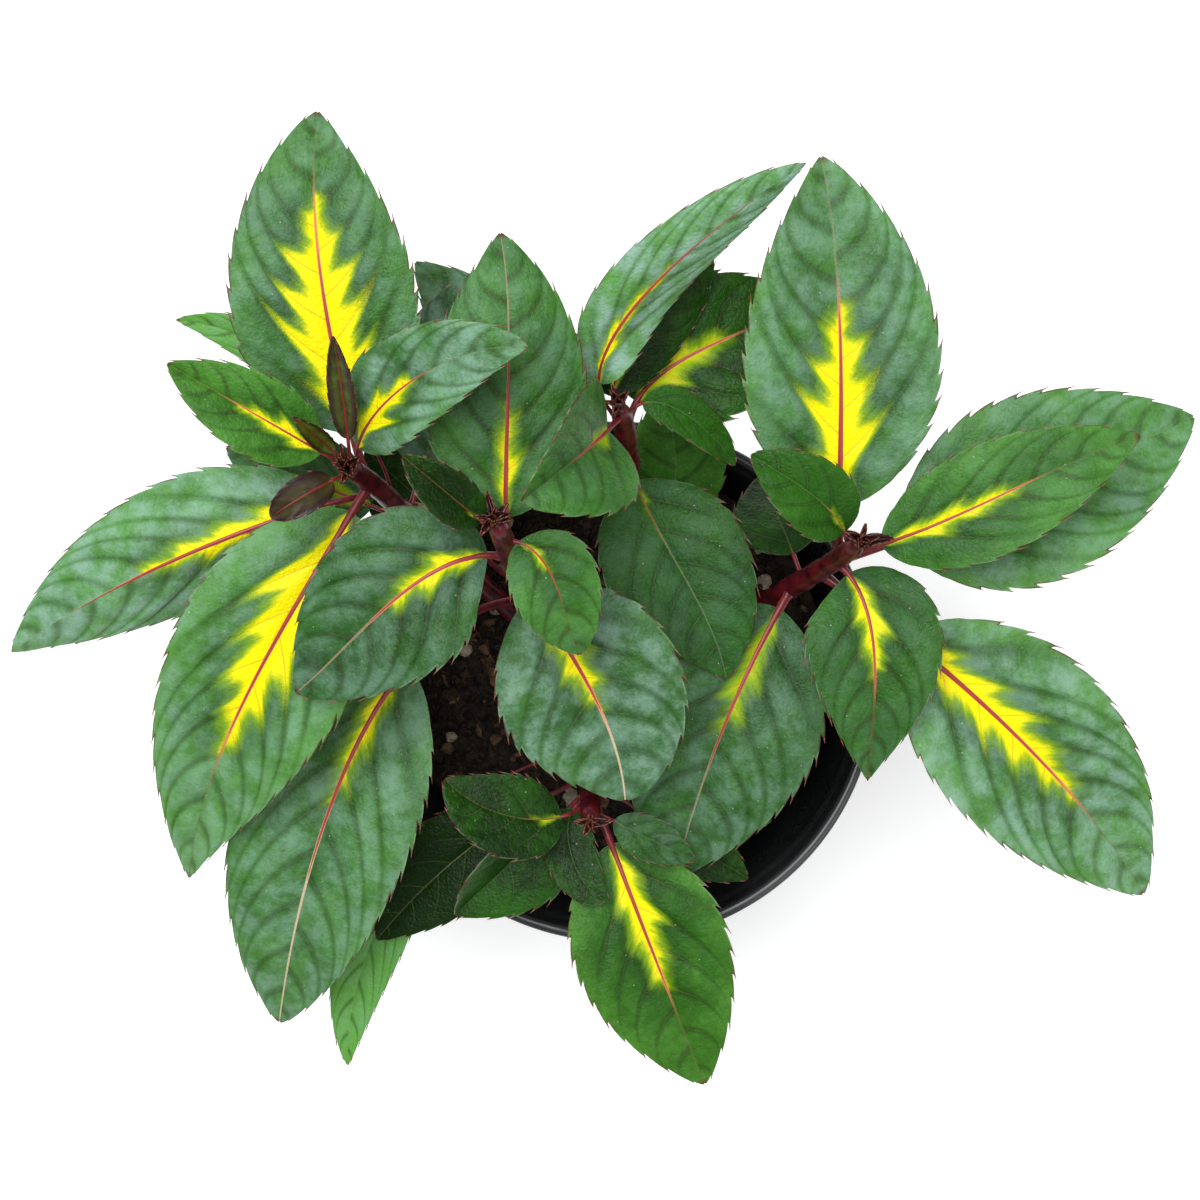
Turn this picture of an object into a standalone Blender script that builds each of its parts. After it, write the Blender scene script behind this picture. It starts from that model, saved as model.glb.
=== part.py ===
"""A potted New Guinea impatiens with variegated leaves, in a round nursery pot.

Metres, +Z up. The origin is on the pot's axis, in the plane of its foot. +Y is the back of the plant.
Every leaf is a thin shell that starts at its stem and ends at a tip given as a heading, a reach and a
height. Every stem is a tapered tube that stands in its own socket in the soil.
"""

import math
from dataclasses import dataclass

import bmesh
import bpy
from mathutils import Vector, noise

# ---- driving dimensions ------------------------------------------------------------------------------
POT_HEIGHT = 0.125
RIM_RADIUS = 0.080
COLLAR_HEIGHT = 0.016
COLLAR_STEP = 0.0028
BASE_RADIUS = 0.057
WALL = 0.0015
LIP = 0.0032
FLOOR = 0.0018
DRAIN_RING_RISE = 0.0025  # the ring that holds the drain holes stands clear of the ground
DRAIN_RING_INNER = 0.027
DRAIN_RING_OUTER = 0.049
POT_STEPS = 40
DRAIN_COUNT = 6
DRAIN_RADIUS = 0.005
DRAIN_CIRCLE = 0.038

SOIL_LEVEL = 0.103
SOIL_SLOPE = 0.12  # rise per metre towards the back of the pot
SOIL_BUMP = 0.0022
SOIL_STEPS = 32
SOIL_RINGS = 5

FIT_GAP = 0.0003  # clearance that touching pieces keep
STEM_FOOT_RADIUS = 0.0034
STEM_TOP_RADIUS = 0.0023
STEM_POINTS = 12
BUD_RADIUS = 0.0030
BUD_HEIGHT = 0.009
BUD_STEPS = 10

BLADE_THICKNESS = 0.0007
STALK_THICKNESS = 0.0022
STALK_WIDTH = 0.0024
TIP_WIDTH = 0.0008
STALK_ROWS = 2
BLADE_ROWS = 8
LEAF_COLUMNS = 4
SMALL_LEAF = 0.045  # a leaf that reaches less far than this takes half as many rows and columns
SHOULDER = 0.64  # how round a blade is near its stalk; a larger value is more tapered

RED_STEM = (0.30, 0.030, 0.035, 1.0)
LEAF_GREEN = (0.045, 0.155, 0.060, 1.0)
YOUNG_BROWN = (0.120, 0.070, 0.040, 1.0)
BUD_RED = (0.120, 0.040, 0.030, 1.0)
BLACK_PLASTIC = (0.018, 0.019, 0.021, 1.0)
PEAT = (0.022, 0.014, 0.009, 1.0)


@dataclass
class Leaf:
    """One leaf. node is the height at which it leaves its stem. azimuth turns from +X towards +Y.

    reach is the level distance from the stem to the tip, and tip is the tip's height. climb is how steeply
    the stalk rises and dive how steeply the tip falls. roll tips the blade about its midrib, fold raises
    both halves like a V, curl turns their edges down, and sway bends the midrib sideways. veer turns only
    the stalk's start aside. Angles are in degrees. stalk is the share of the leaf's length that has no
    blade. taper is how sharply the blade narrows to its tip. A young leaf is brown.
    """

    node: float
    azimuth: float
    reach: float
    tip: float
    width: float
    climb: float = 25
    dive: float = 15
    roll: float = 0
    fold: float = 12
    curl: float = 0.10
    sway: float = 0
    veer: float = 0
    stalk: float = 0.14
    taper: float = 0.92
    young: bool = False


@dataclass
class Shoot:
    """A stem and its leaves, lowest first. The stem is a cubic curve from foot to top, which its two
    handles bend. Its foot stands in the soil.
    """

    foot: tuple
    low_handle: tuple
    high_handle: tuple
    top: tuple
    leaves: list

    def controls(self):
        return self.foot, self.low_handle, self.high_handle, self.top


SHOOTS = {
    "left": Shoot(
        foot=(-0.014, 0.004, 0.082),
        low_handle=(-0.014, 0.004, 0.150),
        high_handle=(-0.072, 0.062, 0.148),
        top=(-0.070, 0.059, 0.214),
        leaves=[
            Leaf(0.166, 158, 0.060, 0.164, 0.027, climb=15, dive=10),
            Leaf(0.176, 140, 0.078, 0.184, 0.016, dive=5, roll=20, sway=-36),
            Leaf(0.170, 74, 0.073, 0.168, 0.038, climb=5, dive=5, fold=0),
            Leaf(0.183, -157, 0.115, 0.172, 0.041, dive=30, roll=20, sway=-9, fold=-22, stalk=0.08),
            Leaf(
                0.190, -117, 0.128, 0.150, 0.052, climb=15, dive=35, sway=-16, veer=13, stalk=0.05, taper=1.1
            ),
            Leaf(0.194, 96, 0.095, 0.214, 0.050, dive=0, sway=13, veer=-6, stalk=0.10),
            Leaf(0.202, 150, 0.055, 0.216, 0.023, dive=0, fold=22),
            Leaf(0.203, 31, 0.055, 0.240, 0.026, climb=55, dive=20, fold=20, sway=35, veer=13, stalk=0.06),
            Leaf(0.207, -148, 0.024, 0.216, 0.011, climb=55, dive=50, fold=30, young=True),
            Leaf(0.208, 135, 0.016, 0.236, 0.006, dive=-60, fold=35, young=True),
            Leaf(0.212, 90, 0.030, 0.246, 0.008, climb=40, dive=-60, fold=35, young=True),
        ],
    ),
    "middle": Shoot(
        foot=(-0.021, 0.025, 0.082),
        low_handle=(-0.026, 0.020, 0.150),
        high_handle=(-0.026, 0.030, 0.190),
        top=(-0.0315, 0.0445, 0.226),
        leaves=[
            Leaf(0.138, 138, 0.067, 0.150, 0.032, climb=5, dive=5, stalk=0.35),
            Leaf(0.150, -121, 0.150, 0.132, 0.054, dive=35, sway=-19, veer=-35, stalk=0.27),
            Leaf(0.186, -65, 0.069, 0.178, 0.052, climb=15, sway=22, veer=-12, stalk=0.05, taper=0.75),
            Leaf(0.204, -148, 0.069, 0.196, 0.044, dive=25, sway=-4, veer=-32, stalk=0.04),
            Leaf(0.208, 91, 0.081, 0.224, 0.042, dive=5, roll=-8, fold=0, sway=-10, veer=12, stalk=0.06),
            Leaf(0.216, -57, 0.036, 0.204, 0.024, climb=20, dive=45, sway=8, veer=40, stalk=0.03),
            Leaf(0.216, 140, 0.032, 0.232, 0.014, climb=45, dive=10, fold=25, stalk=0.06),
        ],
    ),
    "back": Shoot(
        foot=(0.003, 0.024, 0.082),
        low_handle=(0.004, 0.050, 0.130),
        high_handle=(0.005, 0.066, 0.160),
        top=(0.000, 0.076, 0.205),
        leaves=[
            Leaf(0.150, 134, 0.090, 0.158, 0.034, climb=20, dive=5),
            Leaf(0.126, 78, 0.040, 0.142, 0.031, climb=10, dive=5, sway=-42, veer=-36, stalk=0.28),
            Leaf(0.166, -66, 0.068, 0.166, 0.042, climb=20, dive=20, sway=14, veer=-22, stalk=0.05),
            Leaf(0.180, 38, 0.064, 0.184, 0.042, climb=20, dive=15, veer=45, stalk=0.12),
            Leaf(0.186, 63, 0.052, 0.196, 0.022, climb=20, dive=5, roll=-30, sway=7, veer=50),
            Leaf(0.190, 54, 0.077, 0.231, 0.023, climb=40, dive=-5, roll=-42, sway=22, veer=60, fold=-8),
            Leaf(0.195, -21, 0.033, 0.186, 0.012, climb=20, dive=30, sway=38, veer=30, fold=15, stalk=0.12),
            Leaf(0.199, -135, 0.036, 0.239, 0.038, climb=60, dive=0, roll=32, fold=36, sway=8),
        ],
    ),
    "right": Shoot(
        foot=(0.018, 0.006, 0.082),
        low_handle=(0.034, 0.020, 0.125),
        high_handle=(0.055, 0.030, 0.160),
        top=(0.063, 0.040, 0.206),
        leaves=[
            Leaf(0.160, -111, 0.093, 0.144, 0.056, climb=15, dive=25, sway=-10, stalk=0.05),
            Leaf(0.166, 108, 0.033, 0.144, 0.027, climb=0, dive=40),
            Leaf(0.176, -44, 0.135, 0.156, 0.053, climb=15, dive=25, sway=12, veer=-5, stalk=0.20),
            Leaf(0.184, 22, 0.108, 0.186, 0.052, climb=15, dive=10, sway=-3, stalk=0.16),
            Leaf(0.188, -81, 0.062, 0.182, 0.038, dive=35, sway=7, veer=25, stalk=0.03, taper=1.25),
            Leaf(0.190, 94, 0.105, 0.212, 0.053, dive=0, sway=-8, veer=6, stalk=0.10),
            Leaf(0.194, 22, 0.082, 0.210, 0.030, dive=5, sway=5, veer=-13, stalk=0.08),
            Leaf(0.198, 138, 0.037, 0.212, 0.021, climb=45, dive=20, sway=-8, veer=-20, fold=20, stalk=0.04),
        ],
    ),
    "front": Shoot(
        foot=(-0.005, -0.008, 0.082),
        low_handle=(-0.007, -0.018, 0.120),
        high_handle=(-0.008, -0.030, 0.145),
        top=(-0.008, -0.037, 0.170),
        leaves=[
            Leaf(0.126, -128, 0.124, 0.118, 0.021, climb=15, dive=10, sway=-40, veer=-11, stalk=0.40),
            Leaf(0.136, -17, 0.057, 0.130, 0.022, climb=15, dive=15, stalk=0.30),
            Leaf(0.140, -142, 0.083, 0.132, 0.030, climb=15, dive=10, stalk=0.30, sway=-14),
            Leaf(0.143, -33, 0.056, 0.138, 0.019, climb=15, dive=15, stalk=0.30),
            Leaf(0.148, -137, 0.055, 0.150, 0.034, climb=15, dive=10, roll=32, fold=35),
            Leaf(0.150, -69, 0.094, 0.146, 0.046, climb=20, dive=15),
            Leaf(0.154, -80, 0.030, 0.160, 0.016, climb=10, dive=0, sway=-70, stalk=0.10),
            Leaf(0.158, 169, 0.042, 0.170, 0.025, climb=30, dive=0, fold=15, sway=40, roll=-12),
            Leaf(0.162, -27, 0.034, 0.160, 0.013, climb=20, dive=15),
        ],
    ),
}


# ---- scene helpers -----------------------------------------------------------------------------------
def clear_scene():
    for obj in list(bpy.data.objects):
        bpy.data.objects.remove(obj)


def new_collection(name):
    collection = bpy.data.collections.new(name)
    bpy.context.scene.collection.children.link(collection)
    return collection


def plain_material(name, colour, roughness):
    material = bpy.data.materials.new(name)
    material.use_nodes = True
    shader = material.node_tree.nodes["Principled BSDF"]
    shader.inputs["Base Color"].default_value = colour
    shader.inputs["Roughness"].default_value = roughness
    shader.inputs["Metallic"].default_value = 0.0
    return material


def add_object(name, data, material, collection):
    obj = bpy.data.objects.new(name, data)
    data.materials.append(material)
    collection.objects.link(obj)
    return obj


def shade_smooth(mesh, angle_degrees=40):
    mesh.shade_smooth()
    mesh.set_sharp_from_angle(angle=math.radians(angle_degrees))


def turned_object(name, profile, steps, material, collection):
    """Turns a profile about Z. Its (radius, height) points start and end on the axis, top end first."""
    mesh = bpy.data.meshes.new(name)
    points = [(radius, 0.0, height) for radius, height in profile]
    edges = [(i, i + 1) for i in range(len(points) - 1)]
    mesh.from_pydata(points, edges, [])
    obj = add_object(name, mesh, material, collection)
    screw = obj.modifiers.new("turn", "SCREW")
    screw.angle = math.tau
    screw.steps = steps
    screw.render_steps = steps
    screw.use_merge_vertices = True
    screw.merge_threshold = 0.00005
    return obj


def mesh_copy(obj, name, material, collection):
    """The evaluated shape of an object as a mesh object of its own, with coincident points merged."""
    bpy.context.view_layer.update()
    graph = bpy.context.evaluated_depsgraph_get()
    mesh = bpy.data.meshes.new_from_object(obj.evaluated_get(graph), depsgraph=graph)
    mesh.materials.clear()
    bm = bmesh.new()
    bm.from_mesh(mesh)
    bmesh.ops.remove_doubles(bm, verts=bm.verts, dist=0.00002)
    bm.to_mesh(mesh)
    bm.free()
    made = add_object(name, mesh, material, collection)
    made.matrix_world = obj.matrix_world
    return made


def cut(obj, cutter):
    """Takes the cutter's shape out of the object."""
    cutter.hide_render = True
    cutter.display_type = "WIRE"
    boolean = obj.modifiers.new("cut_" + cutter.name, "BOOLEAN")
    boolean.operation = "DIFFERENCE"
    boolean.object = cutter


# ---- the pot -----------------------------------------------------------------------------------------
def wall_radius(height):
    """The pot's outer radius below its collar."""
    collar_foot = POT_HEIGHT - COLLAR_HEIGHT
    share = height / collar_foot
    return BASE_RADIUS + (RIM_RADIUS - COLLAR_STEP - BASE_RADIUS) * share


def inner_radius(height):
    return wall_radius(height) - WALL


def pot_profile():
    """From the middle of the floor up the inside, over the lip, down the outside and in underneath."""
    collar_foot = POT_HEIGHT - COLLAR_HEIGHT
    slant = 0.002
    return [
        (0.0, FLOOR),
        (DRAIN_RING_INNER - slant, FLOOR),
        (DRAIN_RING_INNER, FLOOR + DRAIN_RING_RISE),
        (DRAIN_RING_OUTER, FLOOR + DRAIN_RING_RISE),
        (DRAIN_RING_OUTER + slant, FLOOR),
        (inner_radius(FLOOR) - 0.003, FLOOR),
        (inner_radius(FLOOR + 0.003), FLOOR + 0.003),
        (inner_radius(collar_foot), collar_foot - 0.001),
        (RIM_RADIUS - LIP - 0.0003, collar_foot + 0.004),
        (RIM_RADIUS - LIP, POT_HEIGHT - 0.0012),
        (RIM_RADIUS - LIP / 2, POT_HEIGHT),
        (RIM_RADIUS - 0.0008, POT_HEIGHT - 0.0006),
        (RIM_RADIUS, POT_HEIGHT - 0.0025),
        (RIM_RADIUS - 0.0014, collar_foot + 0.001),
        (wall_radius(collar_foot), collar_foot),
        (wall_radius(0.001), 0.001),
        (BASE_RADIUS - 0.001, 0.0),
        (DRAIN_RING_OUTER + slant, 0.0),
        (DRAIN_RING_OUTER, DRAIN_RING_RISE),
        (DRAIN_RING_INNER, DRAIN_RING_RISE),
        (DRAIN_RING_INNER - slant, 0.0),
        (0.0, 0.0),
    ]


def drain_cutter(index, material, collection):
    angle = math.tau * index / DRAIN_COUNT
    mesh = bpy.data.meshes.new("drain_cutter")
    bm = bmesh.new()
    bmesh.ops.create_cone(
        bm, cap_ends=True, segments=12, radius1=DRAIN_RADIUS, radius2=DRAIN_RADIUS, depth=0.02
    )
    bm.to_mesh(mesh)
    bm.free()
    cutter = add_object(f"drain_cutter_{index}", mesh, material, collection)
    cutter.location = (DRAIN_CIRCLE * math.cos(angle), DRAIN_CIRCLE * math.sin(angle), DRAIN_RING_RISE)
    return cutter


def make_pot(material, parts, cutters):
    pot = turned_object("pot", pot_profile(), POT_STEPS, material, parts)
    shade_smooth(pot.data)
    for index in range(DRAIN_COUNT):
        cut(pot, drain_cutter(index, material, cutters))


# ---- the soil ----------------------------------------------------------------------------------------
def soil_height(x, y):
    """The height of the soil's uneven top, which rises towards the back of the pot."""
    bump = noise.noise(Vector((x, y, 0.0)) * 45.0) * SOIL_BUMP
    return SOIL_LEVEL + SOIL_SLOPE * y + bump


def soil_radius(height):
    return inner_radius(height) - 2 * FIT_GAP


def soil_profile():
    """A flat-topped block that fills the pot. shape_soil_top then gives its top the real heights."""
    floor = FLOOR + DRAIN_RING_RISE + FIT_GAP
    edge = soil_radius(SOIL_LEVEL)
    top = [(edge * ring / SOIL_RINGS, SOIL_LEVEL) for ring in range(SOIL_RINGS + 1)]
    side = [(soil_radius(0.05), 0.05), (soil_radius(floor + 0.004), floor + 0.004)]
    return top + side + [(soil_radius(floor) - 0.004, floor), (0.0, floor)]


def shape_soil_top(mesh):
    edge = soil_radius(SOIL_LEVEL)
    for vertex in mesh.vertices:
        if vertex.co.z < SOIL_LEVEL - 0.001:
            continue
        distance = math.hypot(vertex.co.x, vertex.co.y)
        vertex.co.z = soil_height(vertex.co.x, vertex.co.y)
        if distance > edge - 0.001:
            spread = soil_radius(vertex.co.z) / distance
            vertex.co.x *= spread
            vertex.co.y *= spread


def make_soil(material, parts, cutters):
    blank = turned_object("soil_blank", soil_profile(), SOIL_STEPS, material, cutters)
    soil = mesh_copy(blank, "soil", material, parts)
    bpy.data.objects.remove(blank)
    shape_soil_top(soil.data)
    shade_smooth(soil.data, 60)
    return soil


# ---- stems and their buds ----------------------------------------------------------------------------
def cubic_point(controls, t):
    a, b, c, d = (Vector(p) for p in controls)
    s = 1.0 - t
    return a * s**3 + b * 3 * s * s * t + c * 3 * s * t * t + d * t**3


def cubic_direction(controls, t):
    a, b, c, d = (Vector(p) for p in controls)
    s = 1.0 - t
    return ((b - a) * s * s + (c - b) * 2 * s * t + (d - c) * t * t).normalized()


def stem_radius(t):
    return STEM_FOOT_RADIUS + (STEM_TOP_RADIUS - STEM_FOOT_RADIUS) * t


def stem_share_at(shoot, height):
    """How far along a stem a height lies, found by halving."""
    low, high = 0.0, 1.0
    for _ in range(40):
        middle = (low + high) / 2
        if cubic_point(shoot.controls(), middle).z < height:
            low = middle
        else:
            high = middle
    return low


def tube(name, points, radii, material, collection):
    curve = bpy.data.curves.new(name, "CURVE")
    curve.dimensions = "3D"
    curve.bevel_depth = 1.0
    curve.bevel_resolution = 2
    curve.use_fill_caps = True
    spline = curve.splines.new("POLY")
    spline.points.add(len(points) - 1)
    for place, point, radius in zip(spline.points, points, radii):
        place.co = (*point, 1.0)
        place.radius = radius
    return add_object(name, curve, material, collection)


def make_stem(name, shoot, soil, material, parts, cutters):
    """A tapered tube, and the socket that it stands in."""
    shares = [i / (STEM_POINTS - 1) for i in range(STEM_POINTS)]
    points = [cubic_point(shoot.controls(), t) for t in shares]
    tube(f"{name}_stem", points, [stem_radius(t) for t in shares], material, parts)
    loose = tube("loose_tube", points, [stem_radius(t) + FIT_GAP for t in shares], material, cutters)
    socket = mesh_copy(loose, f"{name}_socket", material, cutters)
    bpy.data.objects.remove(loose)
    deepen_foot(socket.data, shoot.foot[2])
    cut(soil, socket)


def deepen_foot(mesh, foot_height):
    """Lowers a socket's end, so that the stem's foot keeps its gap to the bottom of the socket."""
    for vertex in mesh.vertices:
        if vertex.co.z < foot_height + 0.003:
            vertex.co.z -= FIT_GAP


def make_bud(name, shoot, material, parts):
    """The tight cluster of young leaves at a shoot's end, as one tapered body."""
    up = cubic_direction(shoot.controls(), 1.0)
    outline = [(0.0, 1.0), (0.12, 1.0), (0.40, 0.85), (0.85, 0.55), (1.0, 0.25), (0.62, 0.0), (0.0, 0.0)]
    profile = [(radius * BUD_RADIUS, height * BUD_HEIGHT) for radius, height in outline]
    bud = turned_object(f"{name}_bud", profile, BUD_STEPS, material, parts)
    bud.location = Vector(shoot.top) + up * FIT_GAP
    bud.rotation_mode = "QUATERNION"
    bud.rotation_quaternion = up.to_track_quat("Z", "Y")
    shade_smooth(bud.data)


# ---- leaves ------------------------------------------------------------------------------------------
def heading(azimuth, rise):
    """A unit direction from a compass angle and an angle above the level, in degrees."""
    a, e = math.radians(azimuth), math.radians(rise)
    return Vector((math.cos(a) * math.cos(e), math.sin(a) * math.cos(e), math.sin(e)))


def end_face(direction):
    """Nine points of a stalk's end face about its middle: its corners, its sides' middles and its centre."""
    across = direction.cross(Vector((0, 0, 1))).normalized() * STALK_WIDTH / 2
    above = across.cross(direction).normalized() * STALK_THICKNESS / 2
    return [across * i + above * j for i in (-1, 0, 1) for j in (-1, 0, 1)]


def clear_of_stem(centre, axis, radius, direction):
    """Where a stalk that leaves a stem starts, so that its whole end face keeps its gap to the stem."""
    distance = radius
    while True:
        points = [direction * distance + offset for offset in end_face(direction)]
        nearest = min((point - axis * axis.dot(point)).length for point in points)
        if nearest >= radius + FIT_GAP:
            return centre + direction * distance
        distance += 0.00005


def leaf_spine(shoot, leaf):
    """The four control points of the midrib."""
    t = stem_share_at(shoot, leaf.node)
    centre = cubic_point(shoot.controls(), t)
    axis = cubic_direction(shoot.controls(), t)
    leaving = heading(leaf.azimuth + leaf.sway + leaf.veer, leaf.climb)
    ending = heading(leaf.azimuth - leaf.sway, -leaf.dive)
    start = clear_of_stem(centre, axis, stem_radius(t), leaving)
    tip = centre + heading(leaf.azimuth, 0) * leaf.reach
    tip.z = leaf.tip
    arm = (tip - start).length / 3
    return start, start + leaving * arm, tip - ending * arm, tip


def blade_width(share, taper):
    """Half of the blade's width as a share of its widest, from 0 at the stalk to 1 at the tip."""
    widest = SHOULDER / (SHOULDER + taper)
    peak = widest**SHOULDER * (1 - widest) ** taper
    return share**SHOULDER * (1 - share) ** taper / peak


def half_width(leaf, t):
    if t <= leaf.stalk:
        return STALK_WIDTH / 2
    share = min(1.0, (t - leaf.stalk) / (1 - leaf.stalk))
    narrowest = STALK_WIDTH / 2 + (TIP_WIDTH - STALK_WIDTH) / 2 * share
    return max(narrowest, leaf.width / 2 * blade_width(share, leaf.taper))


def leaf_point(leaf, spine, t, side):
    """A point of the leaf's middle surface: t runs along the midrib, and side from -1 to 1 across."""
    along = cubic_direction(spine, t)
    level = heading(leaf.azimuth, 0).cross(Vector((0, 0, 1)))
    across = (level - along * level.dot(along)).normalized()
    above = across.cross(along)
    share = max(0.0, (t - leaf.stalk) / (1 - leaf.stalk))
    onset = min(1.0, 3 * share)
    roll = math.radians(leaf.roll) * onset
    fold = math.radians(leaf.fold) * onset
    turned_across = across * math.cos(roll) + above * math.sin(roll)
    turned_above = above * math.cos(roll) - across * math.sin(roll)
    half = half_width(leaf, t)
    out = side * half * math.cos(fold)
    lift = abs(side) * half * math.sin(fold) - leaf.curl * half * side * side * onset
    return cubic_point(spine, t) + turned_across * out + turned_above * lift


def row_share(row, stalk_rows, blade_rows, stalk):
    """Where a row of points lies along the leaf: the stalk has its own rows, and the blade the rest."""
    if row <= stalk_rows:
        return stalk * row / stalk_rows
    return stalk + (1 - stalk) * (row - stalk_rows) / blade_rows


def make_leaf(name, shoot, leaf, material, parts):
    """A grid laid over the leaf's middle surface, thickened more along the stalk than in the blade."""
    spine = leaf_spine(shoot, leaf)
    detail = 2 if leaf.reach < SMALL_LEAF else 1
    stalk_rows, blade_rows, columns = STALK_ROWS // detail, BLADE_ROWS // detail, LEAF_COLUMNS // detail
    rows = stalk_rows + blade_rows
    mesh = bpy.data.meshes.new(name)
    bm = bmesh.new()
    bmesh.ops.create_grid(bm, x_segments=columns, y_segments=rows, size=1.0)
    weights = {}
    for vertex in bm.verts:
        row = round((vertex.co.y + 1) / 2 * rows)
        t = row_share(row, stalk_rows, blade_rows, leaf.stalk)
        weights[vertex.index] = 1.0 if row <= stalk_rows else BLADE_THICKNESS / STALK_THICKNESS
        vertex.co = leaf_point(leaf, spine, t, vertex.co.x)
    bm.to_mesh(mesh)
    bm.free()
    obj = add_object(name, mesh, material, parts)
    group = obj.vertex_groups.new(name="thickness")
    for index, weight in weights.items():
        group.add([index], weight, "REPLACE")
    solidify = obj.modifiers.new("thickness", "SOLIDIFY")
    solidify.thickness = STALK_THICKNESS
    solidify.offset = 0.0
    solidify.vertex_group = "thickness"
    shade_smooth(mesh)


# ---- the whole plant ---------------------------------------------------------------------------------
def main():
    clear_scene()
    parts = new_collection("potted_impatiens")
    cutters = new_collection("cutters")
    plastic = plain_material("black_plastic", BLACK_PLASTIC, 0.35)
    peat = plain_material("peat", PEAT, 0.95)
    stem_skin = plain_material("red_stem", RED_STEM, 0.40)
    leaf_skin = plain_material("leaf", LEAF_GREEN, 0.38)
    young_skin = plain_material("young_leaf", YOUNG_BROWN, 0.45)
    bud_skin = plain_material("bud", BUD_RED, 0.55)
    make_pot(plastic, parts, cutters)
    soil = make_soil(peat, parts, cutters)
    for name, shoot in SHOOTS.items():
        make_stem(name, shoot, soil, stem_skin, parts, cutters)
        make_bud(name, shoot, bud_skin, parts)
        for number, leaf in enumerate(shoot.leaves, start=1):
            skin = young_skin if leaf.young else leaf_skin
            make_leaf(f"{name}_leaf_{number:02d}", shoot, leaf, skin, parts)
    bpy.context.view_layer.update()


main()
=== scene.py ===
import math
import random
from types import SimpleNamespace

import bmesh
import bpy
import numpy as np
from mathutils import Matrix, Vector, noise


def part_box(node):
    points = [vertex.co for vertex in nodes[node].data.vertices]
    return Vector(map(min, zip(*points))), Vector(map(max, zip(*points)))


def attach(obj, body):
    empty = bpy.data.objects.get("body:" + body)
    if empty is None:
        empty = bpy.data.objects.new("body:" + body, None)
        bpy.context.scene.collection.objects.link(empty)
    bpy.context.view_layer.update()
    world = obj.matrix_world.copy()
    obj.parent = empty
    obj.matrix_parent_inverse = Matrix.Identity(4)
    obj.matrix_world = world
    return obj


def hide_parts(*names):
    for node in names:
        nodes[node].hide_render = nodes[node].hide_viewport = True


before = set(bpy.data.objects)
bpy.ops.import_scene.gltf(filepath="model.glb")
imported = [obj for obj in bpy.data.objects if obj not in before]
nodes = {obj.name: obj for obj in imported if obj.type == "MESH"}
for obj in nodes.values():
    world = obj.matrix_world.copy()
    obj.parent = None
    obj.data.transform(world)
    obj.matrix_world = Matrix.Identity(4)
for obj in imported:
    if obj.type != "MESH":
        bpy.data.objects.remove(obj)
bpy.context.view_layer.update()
print("frame loaded:", len(nodes), "solids")


# small helpers for meshes

def linkObject(name, data):
    made = bpy.data.objects.new(name, data)
    bpy.context.scene.collection.objects.link(made)
    return made


def addPiece(name, mesh, replaced=(), materials=()):
    for material in materials:
        mesh.materials.append(material)
    piece = linkObject(name, mesh)
    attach(piece, "root")
    if replaced:
        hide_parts(*replaced)


def meshFrom(name, points, faces, materialIndices=None):
    mesh = bpy.data.meshes.new(name)
    mesh.from_pydata([tuple(p) for p in points], [], faces)
    if materialIndices is not None:
        mesh.polygons.foreach_set("material_index", np.asarray(materialIndices, np.int32))
    mesh.shade_smooth()
    mesh.update()
    return mesh


def weldedSolid(node):
    bm = bmesh.new()
    bm.from_mesh(nodes[node].data)
    bmesh.ops.remove_doubles(bm, verts=bm.verts, dist=0.00001)
    return bm


def rowsFrom(start):
    # rows of vertices, each one edge further from the start than the one before
    rows, seen = [list(start)], set(start)
    while rows[-1]:
        near = {edge.other_vert(v) for v in rows[-1] for edge in v.link_edges} - seen
        seen |= near
        rows.append(list(near))
    return rows[:-1]


def rowPoints(row):
    return np.array([tuple(v.co) for v in row])


def polynomialAt(polynomial, x):
    return np.stack([np.polyval(polynomial[:, axis], x) for axis in range(3)], -1)


def unit(vectors):
    return vectors / np.maximum(np.linalg.norm(vectors, axis=-1, keepdims=True), 1e-12)


def smoothStep(low, high, x):
    t = np.clip((x - low) / (high - low), 0.0, 1.0)
    return t * t * (3.0 - 2.0 * t)


def tubeAround(points, radii, sides, flatten=1.0):
    # a closed tube along the points; flatten squeezes it in the direction nearest to up
    points = np.asarray(points, float)
    along = unit(np.gradient(points, axis=0))
    across = unit(np.cross(along, (0.0, 0.0, 1.0)) + (1e-9, 0.0, 0.0))
    for i in range(1, len(across)):
        if across[i] @ across[i - 1] < 0:
            across[i] = -across[i]
    above = np.cross(across, along)
    angles = np.arange(sides) * math.tau / sides
    cosines, sines = np.cos(angles)[None, :, None], np.sin(angles)[None, :, None]
    ring = cosines * across[:, None] + sines * above[:, None] * flatten
    surface = (points[:, None] + ring * np.asarray(radii)[:, None, None]).reshape(-1, 3)
    faces = []
    for i in range(len(points) - 1):
        for j in range(sides):
            k = (j + 1) % sides
            faces.append((i * sides + j, i * sides + k, (i + 1) * sides + k, (i + 1) * sides + j))
    faces.append(tuple(reversed(range(sides))))
    faces.append(tuple((len(points) - 1) * sides + j for j in range(sides)))
    return surface, faces


# small helpers for node trees

def addNode(tree, kind, settings=None, inputs=None):
    made = tree.nodes.new(kind)
    for key, value in (settings or {}).items():
        setattr(made, key, value)
    for key, value in (inputs or {}).items():
        if isinstance(value, bpy.types.NodeSocket):
            tree.links.new(value, made.inputs[key])
        else:
            made.inputs[key].default_value = value
    return made


def firstOutput(tree, kind, settings=None, inputs=None):
    return addNode(tree, kind, settings, inputs).outputs[0]


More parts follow.
